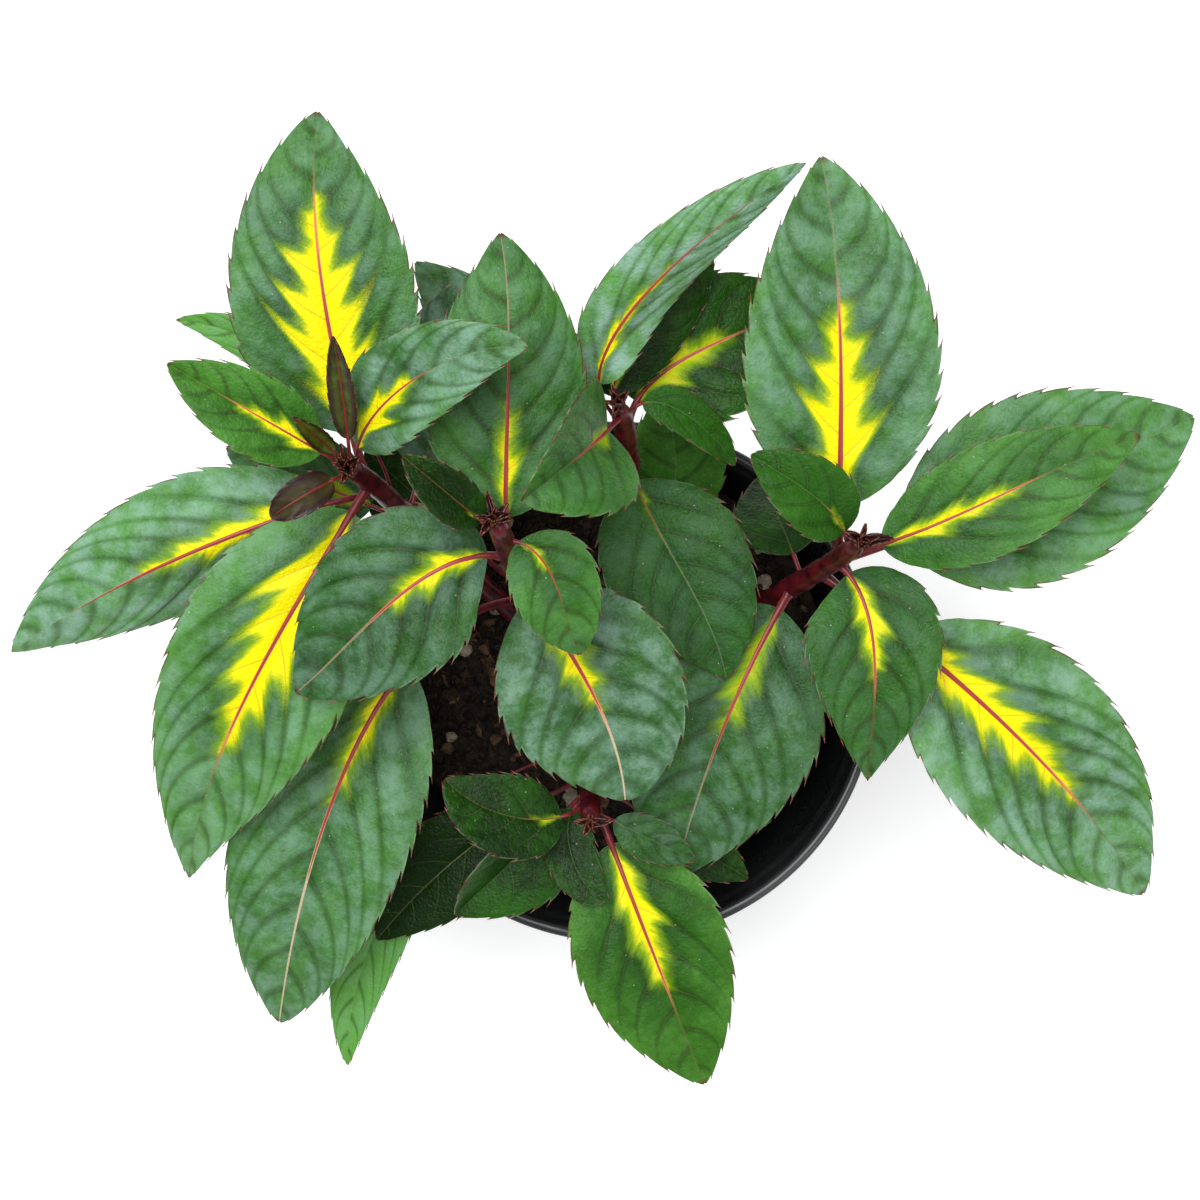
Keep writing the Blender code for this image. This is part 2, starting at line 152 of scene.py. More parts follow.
class ShaderSheet:
    # a material's node tree, with short names for the nodes that it uses most

    def __init__(self, name):
        self.material = bpy.data.materials.new(name)
        self.material.use_nodes = True
        self.tree = self.material.node_tree
        self.shader = self.tree.nodes["Principled BSDF"]
        self.place = addNode(self.tree, "ShaderNodeTexCoord").outputs["Object"]

    def math(self, operation, a, b=0.0, clamp=False):
        settings = {"operation": operation, "use_clamp": clamp}
        return firstOutput(self.tree, "ShaderNodeMath", settings, {0: a, 1: b})

    def plus(self, a, b):
        return self.math("ADD", a, b)

    def minus(self, a, b, clamp=False):
        return self.math("SUBTRACT", a, b, clamp)

    def times(self, a, b):
        return self.math("MULTIPLY", a, b)

    def vector(self, x, y, z):
        return firstOutput(self.tree, "ShaderNodeCombineXYZ", inputs={0: x, 1: y, 2: z})

    def step(self, x, low, high, lowValue=0.0, highValue=1.0):
        return firstOutput(self.tree, "ShaderNodeMapRange", {"interpolation_type": "SMOOTHSTEP"}, {
            "Value": x, "From Min": low, "From Max": high, "To Min": lowValue, "To Max": highValue})

    def mix(self, share, a, b):
        return addNode(self.tree, "ShaderNodeMix", {"data_type": "RGBA"}, {0: share, 6: a, 7: b}).outputs[2]

    def noise(self, scale, detail=2.0, rough=0.5, place=None):
        return firstOutput(self.tree, "ShaderNodeTexNoise", inputs={
            "Vector": place or self.place, "Scale": scale, "Detail": detail, "Roughness": rough})

    def specks(self, scale, rarity, size):
        # round specks in the few cells whose random number passes the two limits of rarity
        cell = addNode(self.tree, "ShaderNodeTexVoronoi", {"feature": "F1"}, {
            "Vector": self.place, "Scale": scale})
        number = firstOutput(self.tree, "ShaderNodeSeparateXYZ", inputs={0: cell.outputs["Color"]})
        rare = self.step(number, *rarity)
        return self.times(self.step(cell.outputs["Distance"], 0.05, size, 0.5, 0.0), rare)

    def attribute(self, name):
        read = addNode(self.tree, "ShaderNodeAttribute", {"attribute_name": name})
        return addNode(self.tree, "ShaderNodeSeparateXYZ", inputs={0: read.outputs["Vector"]}).outputs

    def bump(self, height, strength, distance, below=None):
        inputs = {"Height": height, "Strength": strength, "Distance": distance}
        if below:
            inputs["Normal"] = below
        return firstOutput(self.tree, "ShaderNodeBump", inputs=inputs)

    def finish(self, colour, roughness, normal=None, **fixed):
        for socket, value in (("Base Color", colour), ("Roughness", roughness), ("Normal", normal)):
            if isinstance(value, bpy.types.NodeSocket):
                self.tree.links.new(value, self.shader.inputs[socket])
            elif value is not None:
                self.shader.inputs[socket].default_value = value
        for name, value in fixed.items():
            self.shader.inputs[name.replace("_", " ")].default_value = value
        return self.material


# leaf materials

leafPaint = {
    "deepGreen": (0.004, 0.020, 0.0006, 1),
    "midGreen": (0.018, 0.088, 0.004, 1),
    "lightGreen": (0.108, 0.335, 0.046, 1),
    # bloom: a grey-teal colour that stands in for the lamp's reflection on the leaves
    "bloom": (0.285, 0.460, 0.370, 1),
    "tipGreen": (0.088, 0.260, 0.022, 1),
    "lime": (0.230, 0.400, 0.006, 1),
    "yellow": (0.930, 0.830, 0.002, 1),
    "coral": (0.700, 0.190, 0.090, 1),
    "crimson": (0.260, 0.014, 0.020, 1),
    "orangeVein": (0.760, 0.340, 0.020, 1),
    "creamRib": (0.560, 0.430, 0.280, 1),
    "ochreRib": (0.190, 0.120, 0.020, 1),
    "redVein": (0.150, 0.045, 0.018, 1),
    "paleVein": (0.100, 0.220, 0.060, 1),
    "browned": (0.090, 0.020, 0.012, 1),
    "paleEdge": (0.300, 0.360, 0.220, 1),
    "dust": (0.520, 0.540, 0.440, 1),
    "underGreen": (0.070, 0.140, 0.055, 1),
    "underBronze": (0.120, 0.085, 0.060, 1),
    "underVein": (0.210, 0.045, 0.045, 1),
    "underRib": (0.260, 0.030, 0.035, 1),
    "stalkDark": (0.085, 0.004, 0.008, 1),
    "stalkRed": (0.200, 0.011, 0.016, 1),
    "stalkBright": (0.360, 0.040, 0.034, 1),
    "youngDark": (0.016, 0.0035, 0.003, 1),
    "youngBronze": (0.034, 0.022, 0.005, 1),
    "youngGreen": (0.100, 0.170, 0.006, 1),
    "youngVein": (0.150, 0.016, 0.012, 1),
    "youngRib": (0.240, 0.018, 0.020, 1),
    "youngEdge": (0.030, 0.006, 0.005, 1),
}
featherWidths = ((0.10, 0.80), (0.30, 1.0), (0.58, 0.72), (0.82, 0.34))
# the values that every leaf's mesh carries, three to an attribute
lookNames = {
    "bladePlace": ("q", "u", "s"),
    "leafLook": ("reach", "spread", "tone"),
    "leafVeins": ("red", "cream", "veins"),
    # leafMood's dull carries painted shade on the yellow as well as its own dullness; leafSkin's bloom is a
    # painted reflection
    "leafMood": ("glow", "dull", "seed"),
    "leafSkin": ("ribShare", "bloom", "spare"),
}


def readLooks(sheet, *attributes):
    looks = {}
    for attribute in attributes:
        looks.update(zip(lookNames[attribute], sheet.attribute(attribute)))
    looks["out"] = sheet.math("ABSOLUTE", looks["s"])
    return SimpleNamespace(**looks)


def featherWidth(sheet, share):
    # the yellow's half width along its reach: widest low on the blade, pointed at its end
    feather = addNode(sheet.tree, "ShaderNodeFloatCurve", inputs={"Value": share})
    curve = feather.mapping.curves[0]
    for x, y in featherWidths:
        curve.points.new(x, y)
    curve.points[0].location = (0.0, 0.60)
    curve.points[-1].location = (1.0, 0.0)
    feather.mapping.update()
    return feather.outputs[0]


def veinPhase(sheet, leaf):
    # counts the side veins along the midrib; those of the left side are half a vein further on
    side = sheet.times(sheet.math("LESS_THAN", leaf.s, 0.0), 0.5)
    return sheet.plus(sheet.times(leaf.q, leaf.veins), side), side


def veinPattern(sheet, leaf):
    # distance to the nearest side vein, a number from 0 to 1 for that vein, and streaks beside it
    phase, side = veinPhase(sheet, leaf)
    veinGap = sheet.math("PINGPONG", phase, 0.5)
    spot = sheet.vector(sheet.math("FLOOR", sheet.plus(phase, 0.5)), side, leaf.seed)
    each = firstOutput(sheet.tree, "ShaderNodeTexWhiteNoise", {"noise_dimensions": "3D"}, {"Vector": spot})
    run = sheet.vector(sheet.times(phase, 2.6), sheet.times(leaf.s, 1.5), leaf.seed)
    return veinGap, each, sheet.noise(1.7, 3.0, 0.6, run)


def bladeGreen(sheet, leaf):
    # a tone of its own, partly painted light and shade; clouds; a paler tip and margin; painted shade in the
    # furrows beside the side veins; and a painted sheen on the domes between them
    paint = leafPaint
    cloudy = sheet.minus(sheet.noise(75.0, 3.0), 0.5)
    # the leaf's tone lightens or darkens the whole leaf: partly its own green, partly painted shade on leaves
    # that sit in shade and painted light on lit ones
    toned = sheet.plus(leaf.tone, sheet.times(cloudy, 0.90))
    toned = sheet.plus(toned, sheet.times(leaf.ragged, 0.60))
    toned = sheet.plus(toned, sheet.times(sheet.minus(leaf.out, 0.45), 0.06))
    rim = sheet.math("MAXIMUM", sheet.step(leaf.out, 0.60, 1.0), sheet.step(leaf.u, 0.50, 1.0))
    rim = sheet.times(rim, leaf.glow)
    toned = sheet.plus(toned, sheet.times(rim, 0.12))
    dark = sheet.mix(sheet.step(toned, -0.1, 0.5), paint["deepGreen"], paint["midGreen"])
    green = sheet.mix(sheet.step(toned, 0.40, 1.5), dark, paint["lightGreen"])
    green = sheet.mix(sheet.times(rim, 0.28), green, paint["tipGreen"])
    # painted shade: the green darkens beside each side vein, in the furrows between the puckers, less so
    # towards the margin
    furrow = sheet.step(leaf.veinGap, 0.0, 0.17, 0.52, 0.0)
    furrow = sheet.times(furrow, sheet.step(leaf.out, 0.40, 1.0, 1.0, 0.30))
    green = sheet.mix(furrow, green, paint["deepGreen"])
    # painted sheen: a grey-teal colour laid in patches over the domes between the side veins, standing in for
    # the lamp's reflection
    paintedSheenPatches = sheet.step(sheet.noise(120.0, 5.0, 0.70), 0.34, 0.68, 0.20, 1.8)
    paintedSheenPatches = sheet.times(paintedSheenPatches, sheet.step(leaf.veinGap, 0.03, 0.30, 0.50, 1.15))
    return sheet.mix(sheet.times(leaf.bloom, paintedSheenPatches), green, paint["bloom"])


def addYellow(sheet, leaf, green):
    # a feather of yellow with a finger of its own length along every side vein
    share = sheet.math("DIVIDE", leaf.q, leaf.reach, True)
    long = sheet.step(leaf.each, 0.0, 1.0, 0.95, 1.50)
    finger = sheet.times(sheet.step(leaf.veinGap, 0.02, 0.40, 1.0, 0.0), sheet.minus(long, 0.65))
    width = sheet.times(featherWidth(sheet, share), leaf.spread)
    width = sheet.times(width, sheet.plus(finger, 0.65))
    inside = sheet.minus(width, leaf.out)
    inside = sheet.plus(inside, sheet.times(sheet.minus(leaf.streaks, 0.5), 0.20))
    inside = sheet.plus(inside, sheet.times(leaf.ragged, 0.05))
    present = sheet.step(width, 0.015, 0.075)
    shaded = sheet.times(sheet.step(inside, -0.36, -0.12, 0.0, 0.35), present)
    lime = sheet.times(sheet.step(inside, -0.14, 0.04, 0.0, 0.90), present)
    yellow = sheet.times(sheet.step(inside, -0.02, 0.10), present)
    colour = sheet.mix(shaded, green, leafPaint["deepGreen"])
    colour = sheet.mix(lime, colour, leafPaint["lime"])
    # dull dims the yellow towards lime: partly the yellow's own lime cast, partly painted shade on leaves
    # that sit in shade
    return sheet.mix(yellow, colour, sheet.mix(leaf.dull, leafPaint["yellow"], leafPaint["lime"])), yellow


def addVeins(sheet, leaf, colour, yellow):
    # side veins: orange threads in the yellow, faint ones in the green
    thin = sheet.step(leaf.veinGap, 0.006, 0.030, 1.0, 0.0)
    thin = sheet.times(thin, sheet.step(leaf.out, 0.30, 0.85, 1.0, 0.0))
    plainVein = sheet.mix(leaf.red, leafPaint["paleVein"], leafPaint["redVein"])
    colour = sheet.mix(sheet.times(thin, sheet.step(yellow, 0.0, 0.3, 0.26, 0.0)), colour, plainVein)
    threads = sheet.times(thin, sheet.times(yellow, 0.70))
    return sheet.mix(threads, colour, leafPaint["orangeVein"]), plainVein


def addMidrib(sheet, leaf, colour, plainVein):
    # crimson at the stalk, coral through the yellow, then cream, red or hardly seen
    plainRib = sheet.mix(leaf.red, leafPaint["ochreRib"], leafPaint["redVein"])
    ribColour = sheet.mix(sheet.step(leaf.spread, 0.05, 0.16), plainRib, leafPaint["coral"])
    ribColour = sheet.mix(sheet.step(leaf.u, -0.04, 0.06), leafPaint["crimson"], ribColour)
    far = sheet.mix(leaf.cream, plainVein, leafPaint["creamRib"])
    beyond = sheet.step(leaf.u, sheet.times(leaf.reach, 0.80), sheet.plus(leaf.reach, 0.10))
    ribColour = sheet.mix(beyond, ribColour, far)
    clear = sheet.math("MAXIMUM", sheet.math("MAXIMUM", leaf.cream, sheet.times(leaf.red, 0.7)), 0.35)
    faded = sheet.times(beyond, sheet.minus(1.0, clear))
    narrow = sheet.times(leaf.ribShare, sheet.step(leaf.spread, 0.05, 0.16, 1.7, 1.0))
    rib = sheet.times(sheet.step(narrow, 0.62, 1.25, 1.0, 0.0), sheet.minus(1.0, faded))
    return sheet.mix(rib, colour, ribColour)


def addMargin(sheet, leaf, colour):
    # a browned margin and tip
    changing = sheet.noise(160.0, 1.0)
    margin = sheet.times(sheet.step(leaf.out, 0.968, 0.995), sheet.step(changing, 0.35, 0.65, 0.35, 0.85))
    edge = sheet.mix(sheet.step(changing, 0.40, 0.52), leafPaint["paleEdge"], leafPaint["browned"])
    colour = sheet.mix(margin, colour, edge)
    tip = sheet.times(sheet.step(leaf.u, 0.965, 0.995), sheet.step(leaf.red, 0.2, 0.8, 0.3, 1.0))
    return sheet.mix(tip, colour, leafPaint["browned"])


def bladeMaterial():
    sheet = ShaderSheet("leafTop")
    leaf = readLooks(sheet, *lookNames)
    leaf.veinGap, leaf.each, leaf.streaks = veinPattern(sheet, leaf)
    leaf.ragged = sheet.minus(sheet.noise(420.0, 5.0, 0.65), 0.5)
    colour, yellow = addYellow(sheet, leaf, bladeGreen(sheet, leaf))
    colour, plainVein = addVeins(sheet, leaf, colour, yellow)
    colour = addMargin(sheet, leaf, addMidrib(sheet, leaf, colour, plainVein))
    colour = sheet.mix(sheet.specks(420.0, (0.88, 0.90), 0.12), colour, leafPaint["dust"])
    pebbles = sheet.bump(sheet.noise(1150.0, 2.0), 0.90, 0.00042)
    leathery = sheet.bump(sheet.noise(480.0, 3.0, 0.6), 0.65, 0.00045, pebbles)
    roughness = sheet.step(sheet.noise(240.0, 3.0), 0.3, 0.7, 0.28, 0.46)
    return sheet.finish(colour, roughness, leathery, Specular_IOR_Level=0.15)


def undersideMaterial():
    sheet = ShaderSheet("leafUnderside")
    leaf = readLooks(sheet, "bladePlace", "leafVeins", "leafSkin")
    veinGap = sheet.math("PINGPONG", veinPhase(sheet, leaf)[0], 0.5)
    clouds = sheet.step(sheet.noise(90.0, 3.0), 0.3, 0.7)
    colour = sheet.mix(clouds, leafPaint["underGreen"], leafPaint["underBronze"])
    line = sheet.times(sheet.step(veinGap, 0.02, 0.06, 0.6, 0.0), sheet.step(leaf.out, 0.5, 0.95, 1.0, 0.0))
    colour = sheet.mix(line, colour, leafPaint["underVein"])
    rib = sheet.step(leaf.ribShare, 0.9, 1.5, 0.9, 0.0)
    colour = sheet.mix(rib, colour, leafPaint["underRib"])
    return sheet.finish(colour, 0.52, sheet.bump(sheet.noise(700.0, 3.0), 0.35, 0.00018))


def stalkMaterial():
    sheet = ShaderSheet("leafStalk")
    along = sheet.attribute("bladePlace")[1]
    streaks = sheet.noise(500.0, 3.0)
    dark = sheet.mix(sheet.step(streaks, 0.35, 0.65), leafPaint["stalkDark"], leafPaint["stalkRed"])
    colour = sheet.mix(sheet.step(along, -0.10, 0.20), dark, leafPaint["stalkBright"])
    return sheet.finish(colour, 0.36, sheet.bump(streaks, 0.25, 0.00012), Specular_IOR_Level=0.4)


def youngMaterial():
    sheet = ShaderSheet("youngLeafTop")
    paint = leafPaint
    leaf = readLooks(sheet, "bladePlace", "leafVeins", "leafLook", "leafSkin")
    clouds = sheet.times(sheet.minus(sheet.noise(260.0, 3.0), 0.5), 0.8)
    mixed = sheet.minus(sheet.plus(leaf.tone, clouds), sheet.step(leaf.out, 0.45, 1.0, 0.0, 0.45), True)
    dark = sheet.mix(sheet.step(mixed, 0.0, 0.4), paint["youngDark"], paint["youngBronze"])
    skin = sheet.mix(sheet.step(mixed, 0.35, 1.0), dark, paint["youngGreen"])
    line = sheet.math("PINGPONG", sheet.times(leaf.q, leaf.veins), 0.5)
    line = sheet.step(line, 0.01, 0.07, 0.55, 0.0)
    colour = sheet.mix(sheet.times(line, leaf.tone), skin, paint["youngVein"])
    rib = sheet.step(leaf.ribShare, 0.7, 1.3, 0.9, 0.0)
    rib = sheet.times(rib, sheet.step(leaf.tone, 0.1, 0.6, 0.25, 1.0))
    colour = sheet.mix(rib, colour, paint["youngRib"])
    colour = sheet.mix(sheet.step(leaf.out, 0.93, 1.0, 0.0, 0.8), colour, paint["youngEdge"])
    grain = sheet.bump(sheet.noise(900.0, 2.0), 0.45, 0.00015)
    return sheet.finish(colour, 0.40, grain, Specular_IOR_Level=0.35)


# leaves: their shape is read from the solids

leafBuild = {
    "tipFace": 0.0013,         # size of the blunt end that every solid leaf has
    "thickness": 0.00034,
    "veinSweep": 0.60,         # how far forward the side veins run before they meet the margin
    "veinOnset": 0.10,
    "dome": 0.048,             # height of the strongest puckers, as a share of half the width
    "ribFurrow": 0.00055,
    "ribHalfWidth": 0.00068,
    "toothDepth": 0.36,        # as a share of the tooth's length
    "toothHook": 0.07,
    "toothPoint": 0.82,        # where a tooth's point lies along it
    "toothSpacing": 0.0115,
    "teeth": (6, 14),          # the fewest and the most on one side
    "veinSpacing": 0.020,
    "veins": (4, 8),
    "firstTooth": 0.10,
    "lastTooth": 0.975,
    "bristle": 0.0022,
    "lostBristles": 0.12,
    "stalkRadius": 0.00115,
    "stalkSides": 10,
    "variegated": 0.085,       # a leaf with more yellow than this has its rib on top, in the furrow
    "usualWidth": 0.046,       # a leaf this wide has ribs and stalks of the sizes above
    "sharpAngle": 62,
}
solidRows = {"small": 4, "large": 8}
columnShares = [0.0, 0.02, 0.05, 0.10, 0.17, 0.25, 0.34, 0.43, 0.52, 0.61, 0.70, 0.78, 0.86, 0.92, 0.965, 1.0]
# the rows of vertices along one tooth, and how far its outline stands out at each and at its end
toothPhases = [0.0, 0.18, 0.36, 0.54, 0.70, leafBuild["toothPoint"], 0.92]
toothBulges = [0.0, 0.30, 0.54, 0.74, 0.90, 1.0, 0.40, 0.0]
youngLeaves = ("left_leaf_09", "left_leaf_10", "left_leaf_11")

# how far the yellow reaches along the blade, how far it spreads to each side, the green's tone (partly the
# leaf's own, partly painted light and shade), how red the veins are, how creamy the far midrib is, how much
# the tip and margin pale, how dull the yellow is (partly painted shade), how strong the painted sheen is, and
# how puckered the blade is
leafLooks = {
    "left_leaf_01": (0.50, 0.20, 0.5, 0.8, 0.0, 0.0, 0.9, 0.10, 0.70),
    "left_leaf_02": (0.00, 0.00, 1.5, 0.6, 0.0, 0.6, 0.0, 0.10, 0.70),
    "left_leaf_03": (0.00, 0.00, 0.3, 0.2, 0.0, 0.0, 0.0, 0.20, 0.50),
    "left_leaf_04": (0.60, 0.21, 1.0, 0.3, 0.5, 0.3, 0.0, 0.35, 1.10),
    "left_leaf_05": (0.66, 0.37, 0.9, 0.5, 0.0, 1.0, 0.0, 0.20, 0.90),
    "left_leaf_06": (0.78, 0.42, 0.7, 0.5, 0.0, 0.4, 0.0, 0.15, 0.50),
    "left_leaf_07": (0.60, 0.20, 0.8, 0.7, 0.0, 0.5, 0.1, 0.00, 0.70),
    "left_leaf_08": (0.50, 0.32, 0.7, 0.4, 0.0, 0.3, 0.0, 0.30, 1.00),
    "left_leaf_09": (0.00, 0.00, 0.4, 1.0, 0.0, 0.0, 0.0, 0.10, 0.60),
    "left_leaf_10": (0.00, 0.00, 0.8, 1.0, 0.0, 0.0, 0.0, 0.10, 0.60),
    "left_leaf_11": (0.00, 0.00, 0.6, 1.0, 0.0, 0.0, 0.0, 0.10, 0.60),
    "middle_leaf_01": (0.00, 0.00, 0.1, 0.3, 0.0, 0.0, 0.0, 0.00, 0.50),
    "middle_leaf_02": (0.42, 0.13, 0.7, 0.4, 1.0, 0.5, 0.0, 0.20, 0.45),
    "middle_leaf_03": (0.62, 0.16, 0.5, 0.2, 1.0, 0.0, 0.0, 0.25, 0.45),
    "middle_leaf_04": (0.55, 0.15, 0.4, 0.9, 0.5, 0.0, 0.1, 0.15, 1.10),
    "middle_leaf_05": (0.46, 0.14, 0.7, 1.0, 0.5, 0.1, 0.2, 0.10, 0.80),
    "middle_leaf_06": (0.42, 0.09, 0.7, 0.9, 0.0, 0.3, 0.2, 0.05, 1.15),
    "middle_leaf_07": (0.25, 0.06, 0.0, 1.0, 0.0, 0.1, 0.8, 0.00, 0.70),
    "back_leaf_01": (0.00, 0.00, 0.2, 0.1, 0.0, 1.0, 0.0, 0.20, 0.70),
    "back_leaf_02": (0.00, 0.00, 0.8, 0.2, 0.3, 0.3, 0.0, 0.00, 0.20),
    "back_leaf_03": (0.26, 0.04, 0.4, 0.2, 0.3, 0.0, 0.8, 0.05, 0.45),
    "back_leaf_04": (0.62, 0.22, 0.3, 0.9, 0.0, 0.2, 0.6, 0.00, 0.70),
    "back_leaf_05": (0.35, 0.16, 0.0, 0.9, 0.0, 0.1, 0.3, 0.00, 0.70),
    "back_leaf_06": (0.55, 0.17, 1.1, 0.2, 0.0, 0.1, 0.0, 0.45, 0.70),
    "back_leaf_07": (0.00, 0.00, 0.5, 0.1, 0.0, 0.0, 0.0, 0.00, 0.70),
    "back_leaf_08": (0.30, 0.13, 0.7, 0.5, 0.0, 0.2, 0.9, 0.05, 0.60),
    "right_leaf_01": (0.52, 0.11, 0.5, 0.6, 0.6, 0.0, 0.8, 0.15, 0.90),
    "right_leaf_02": (0.00, 0.00, 0.1, 0.3, 0.0, 0.1, 0.0, 0.00, 0.30),
    "right_leaf_03": (0.68, 0.26, 0.8, 0.5, 0.0, 1.0, 0.0, 0.30, 1.10),
    "right_leaf_04": (0.30, 0.05, 0.8, 0.2, 0.0, 0.8, 0.5, 0.20, 0.70),
    "right_leaf_05": (0.56, 0.18, 0.5, 0.9, 0.0, 0.1, 0.1, 0.05, 0.90),
    "right_leaf_06": (0.62, 0.33, 0.7, 0.5, 0.3, 0.5, 0.0, 0.20, 1.00),
    "right_leaf_07": (0.60, 0.18, 0.7, 0.7, 0.0, 0.5, 0.2, 0.05, 1.00),
    "right_leaf_08": (0.30, 0.08, 0.5, 0.3, 0.0, 0.1, 0.9, 0.00, 0.70),
    "front_leaf_01": (0.00, 0.00, 1.5, 0.1, 0.3, 1.0, 0.0, 0.10, 0.70),
    "front_leaf_02": (0.00, 0.00, 0.3, 0.1, 0.0, 0.0, 0.0, 0.10, 0.70),
    "front_leaf_03": (0.00, 0.00, -0.1, 0.3, 0.3, 0.0, 0.0, 0.00, 0.40),
    "front_leaf_04": (0.00, 0.00, 0.1, 0.1, 0.0, 0.1, 0.0, 0.00, 0.70),
    "front_leaf_05": (0.00, 0.00, 0.3, 0.2, 0.0, 0.0, 0.0, 0.00, 0.70),
    "front_leaf_06": (0.64, 0.23, 0.6, 0.6, 0.0, 0.8, 0.1, 0.00, 0.80),
    "front_leaf_07": (0.00, 0.00, 0.1, 0.2, 0.0, 0.1, 0.0, 0.00, 0.70),
    "front_leaf_08": (0.30, 0.07, 0.1, 0.6, 0.0, 0.0, 0.7, 0.00, 0.70),
    "front_leaf_09": (0.00, 0.00, 0.3, 0.3, 0.0, 0.0, 0.0, 0.10, 0.70),
}


def bladeProfile(u, roundness):
    # the share of the full width at u; the first number rounds the stalk end, the second sharpens the tip
    a, b = roundness
    widest = a / (a + b)
    peak = widest ** a * (1.0 - widest) ** b
    return np.clip(u, 0.0, 1.0) ** a * np.clip(1.0 - u, 0.0, 1.0) ** b / peak


def outlineFit(us, widths):
    # the two roundness numbers of the blade's outline, from its width along the midrib
    terms = np.stack([np.ones_like(us), np.log(us), np.log(1.0 - us)], -1)
    _, a, b = np.linalg.lstsq(terms, np.log(widths), rcond=None)[0]
    return float(np.clip(a, 0.45, 0.95)), float(np.clip(b, 0.60, 1.50))


def readLeaf(node, stem):
    # the midrib and both edges as polynomials in u, which is 0 at the blade's start and 1 at its tip
    solid = weldedSolid(node)
    points = np.array([tuple(v.co) for v in solid.verts])
    stemPoints = np.array([tuple(v.co) for v in nodes[stem].data.vertices])
    gaps = ((points[:, None] - stemPoints[None]) ** 2).sum(2).min(1)
    base = points[gaps.argmin()]
    tip = Vector(points[((points - base) ** 2).sum(1).argmax()])
    rows = rowsFrom([v for v in solid.verts if (v.co - tip).length < leafBuild["tipFace"]])[::-1]
    bladeRows = solidRows["large" if len(rows) > solidRows["large"] else "small"]
    stalkRows = len(rows) - 1 - bladeRows
    full = max(len(row) for row in rows)
    right = np.cross(np.array(tip) - base, (0.0, 0.0, 1.0))
    us, middles, sections = [], [], []
    for index in range(stalkRows, len(rows)):
        u = (index - stalkRows) / bladeRows
        found = rowPoints(rows[index])
        centre = found.mean(0)
        us.append(u)
        if index in (stalkRows, len(rows) - 1) or len(found) != full:
            middles.append(centre)
            continue
        axis = np.linalg.svd(found - centre)[2][0]
        axis = axis if axis @ right > 0 else -axis
        found = found[np.argsort((found - centre) @ axis)]
        pairs = (found[0::2] + found[1::2]) / 2
        middle = pairs[len(pairs) // 2]
        middles.append(middle)
        sections.append((u, pairs - middle))
    midrib = np.polyfit(us, np.array(middles), 3)
    sectionUs = np.array([u for u, _ in sections])
    spans = [np.linalg.norm(pairs[-1] - pairs[0]) for _, pairs in sections]
    roundness = outlineFit(sectionUs, np.array(spans))
    widths = bladeProfile(sectionUs, roundness)
    edges = []
    for (_, pairs), width in zip(sections, widths):
        leftEdge, rightEdge = pairs[0] / width, pairs[-1] / width
        if len(pairs) == 5:
            leftSag, rightSag = pairs[1] / width - leftEdge / 2, pairs[3] / width - rightEdge / 2
        else:
            leftSag = rightSag = np.zeros(3)
        edges.append(np.concatenate([leftEdge, rightEdge, leftSag, rightSag]))
    fitted = np.polyfit(sectionUs, np.array(edges), 4 if len(edges) > 5 else 1)
    foot = rowPoints(rows[0]).mean(0)
    tries = np.linspace(-0.9, 0.0, 901)
    start = tries[((polynomialAt(midrib, tries) - foot) ** 2).sum(1).argmin()]
    solid.free()
    return {
        "midrib": midrib, "start": start, "round": roundness,
        "leftEdge": fitted[:, 0:3], "rightEdge": fitted[:, 3:6],
        "leftSag": fitted[:, 6:9], "rightSag": fitted[:, 9:12],
    }


def sideAt(shape, part, u, s):
    # a polynomial of the side that s is on: its Edge or its Sag
    onRight = (s >= 0)[..., None]
    return np.where(onRight, polynomialAt(shape["right" + part], u), polynomialAt(shape["left" + part], u))


def leafSurface(shape, u, s):
    out = np.abs(s)[..., None]
    across = out * sideAt(shape, "Edge", u, s) + 4 * out * (1 - out) * sideAt(shape, "Sag", u, s)
    return polynomialAt(shape["midrib"], u) + bladeProfile(u, shape["round"])[..., None] * across


def sweepOf(q):
    return leafBuild["veinSweep"] * (1.0 - q) * (1.0 - np.exp(-q / leafBuild["veinOnset"]))


def toothOutline(phase):
    # outward and forward shift of the margin over one tooth, each as a share
    point = leafBuild["toothPoint"]
    outward = np.interp(phase, toothPhases + [1.0], toothBulges)
    forward = smoothStep(0.60, point, phase) * (1.0 - smoothStep(point, 0.92, phase))
    return outward, forward


def marginRows(teeth):
    first, last = leafBuild["firstTooth"], leafBuild["lastTooth"]
    us = [0.004, 0.014, 0.030, 0.052, 0.076]
    phases = [0.0] * len(us)
    numbers = [-1] * len(us)
    for tooth in range(teeth):
        for phase in toothPhases:
            us.append(first + (last - first) * (tooth + phase) / teeth)
            phases.append(phase)
            numbers.append(tooth)
    for u in (last, 0.984, 0.991, 0.997):
        us.append(u)
        phases.append(0.0)
        numbers.append(-1)
    return np.array(us), np.array(phases), np.array(numbers)


bristles = {"points": [], "directions": [], "lengths": []}


def fineNoise(points, scale, offset):
    values = [noise.noise(Vector(p) * scale + offset) for p in points.reshape(-1, 3)]
    return np.array(values).reshape(points.shape[:-1])


def countAlong(length, spacing, offset, limits):
    fewest, most = limits
    return int(min(most, max(fewest, round(offset + length / spacing))))


def toothStrengths(teeth, chance):
    # how strong each tooth is on either side; number -1 stands for the rows that have no tooth
    strength = {(-1, side): 0.0 for side in (0, 1)}
    for number in range(teeth):
        taper = min(1.0, 0.45 + number / 3.0, 0.5 + (teeth - number) / 4.0)
        for side in (0, 1):
            strength[(number, side)] = taper * chance.uniform(0.75, 1.2)
    return strength


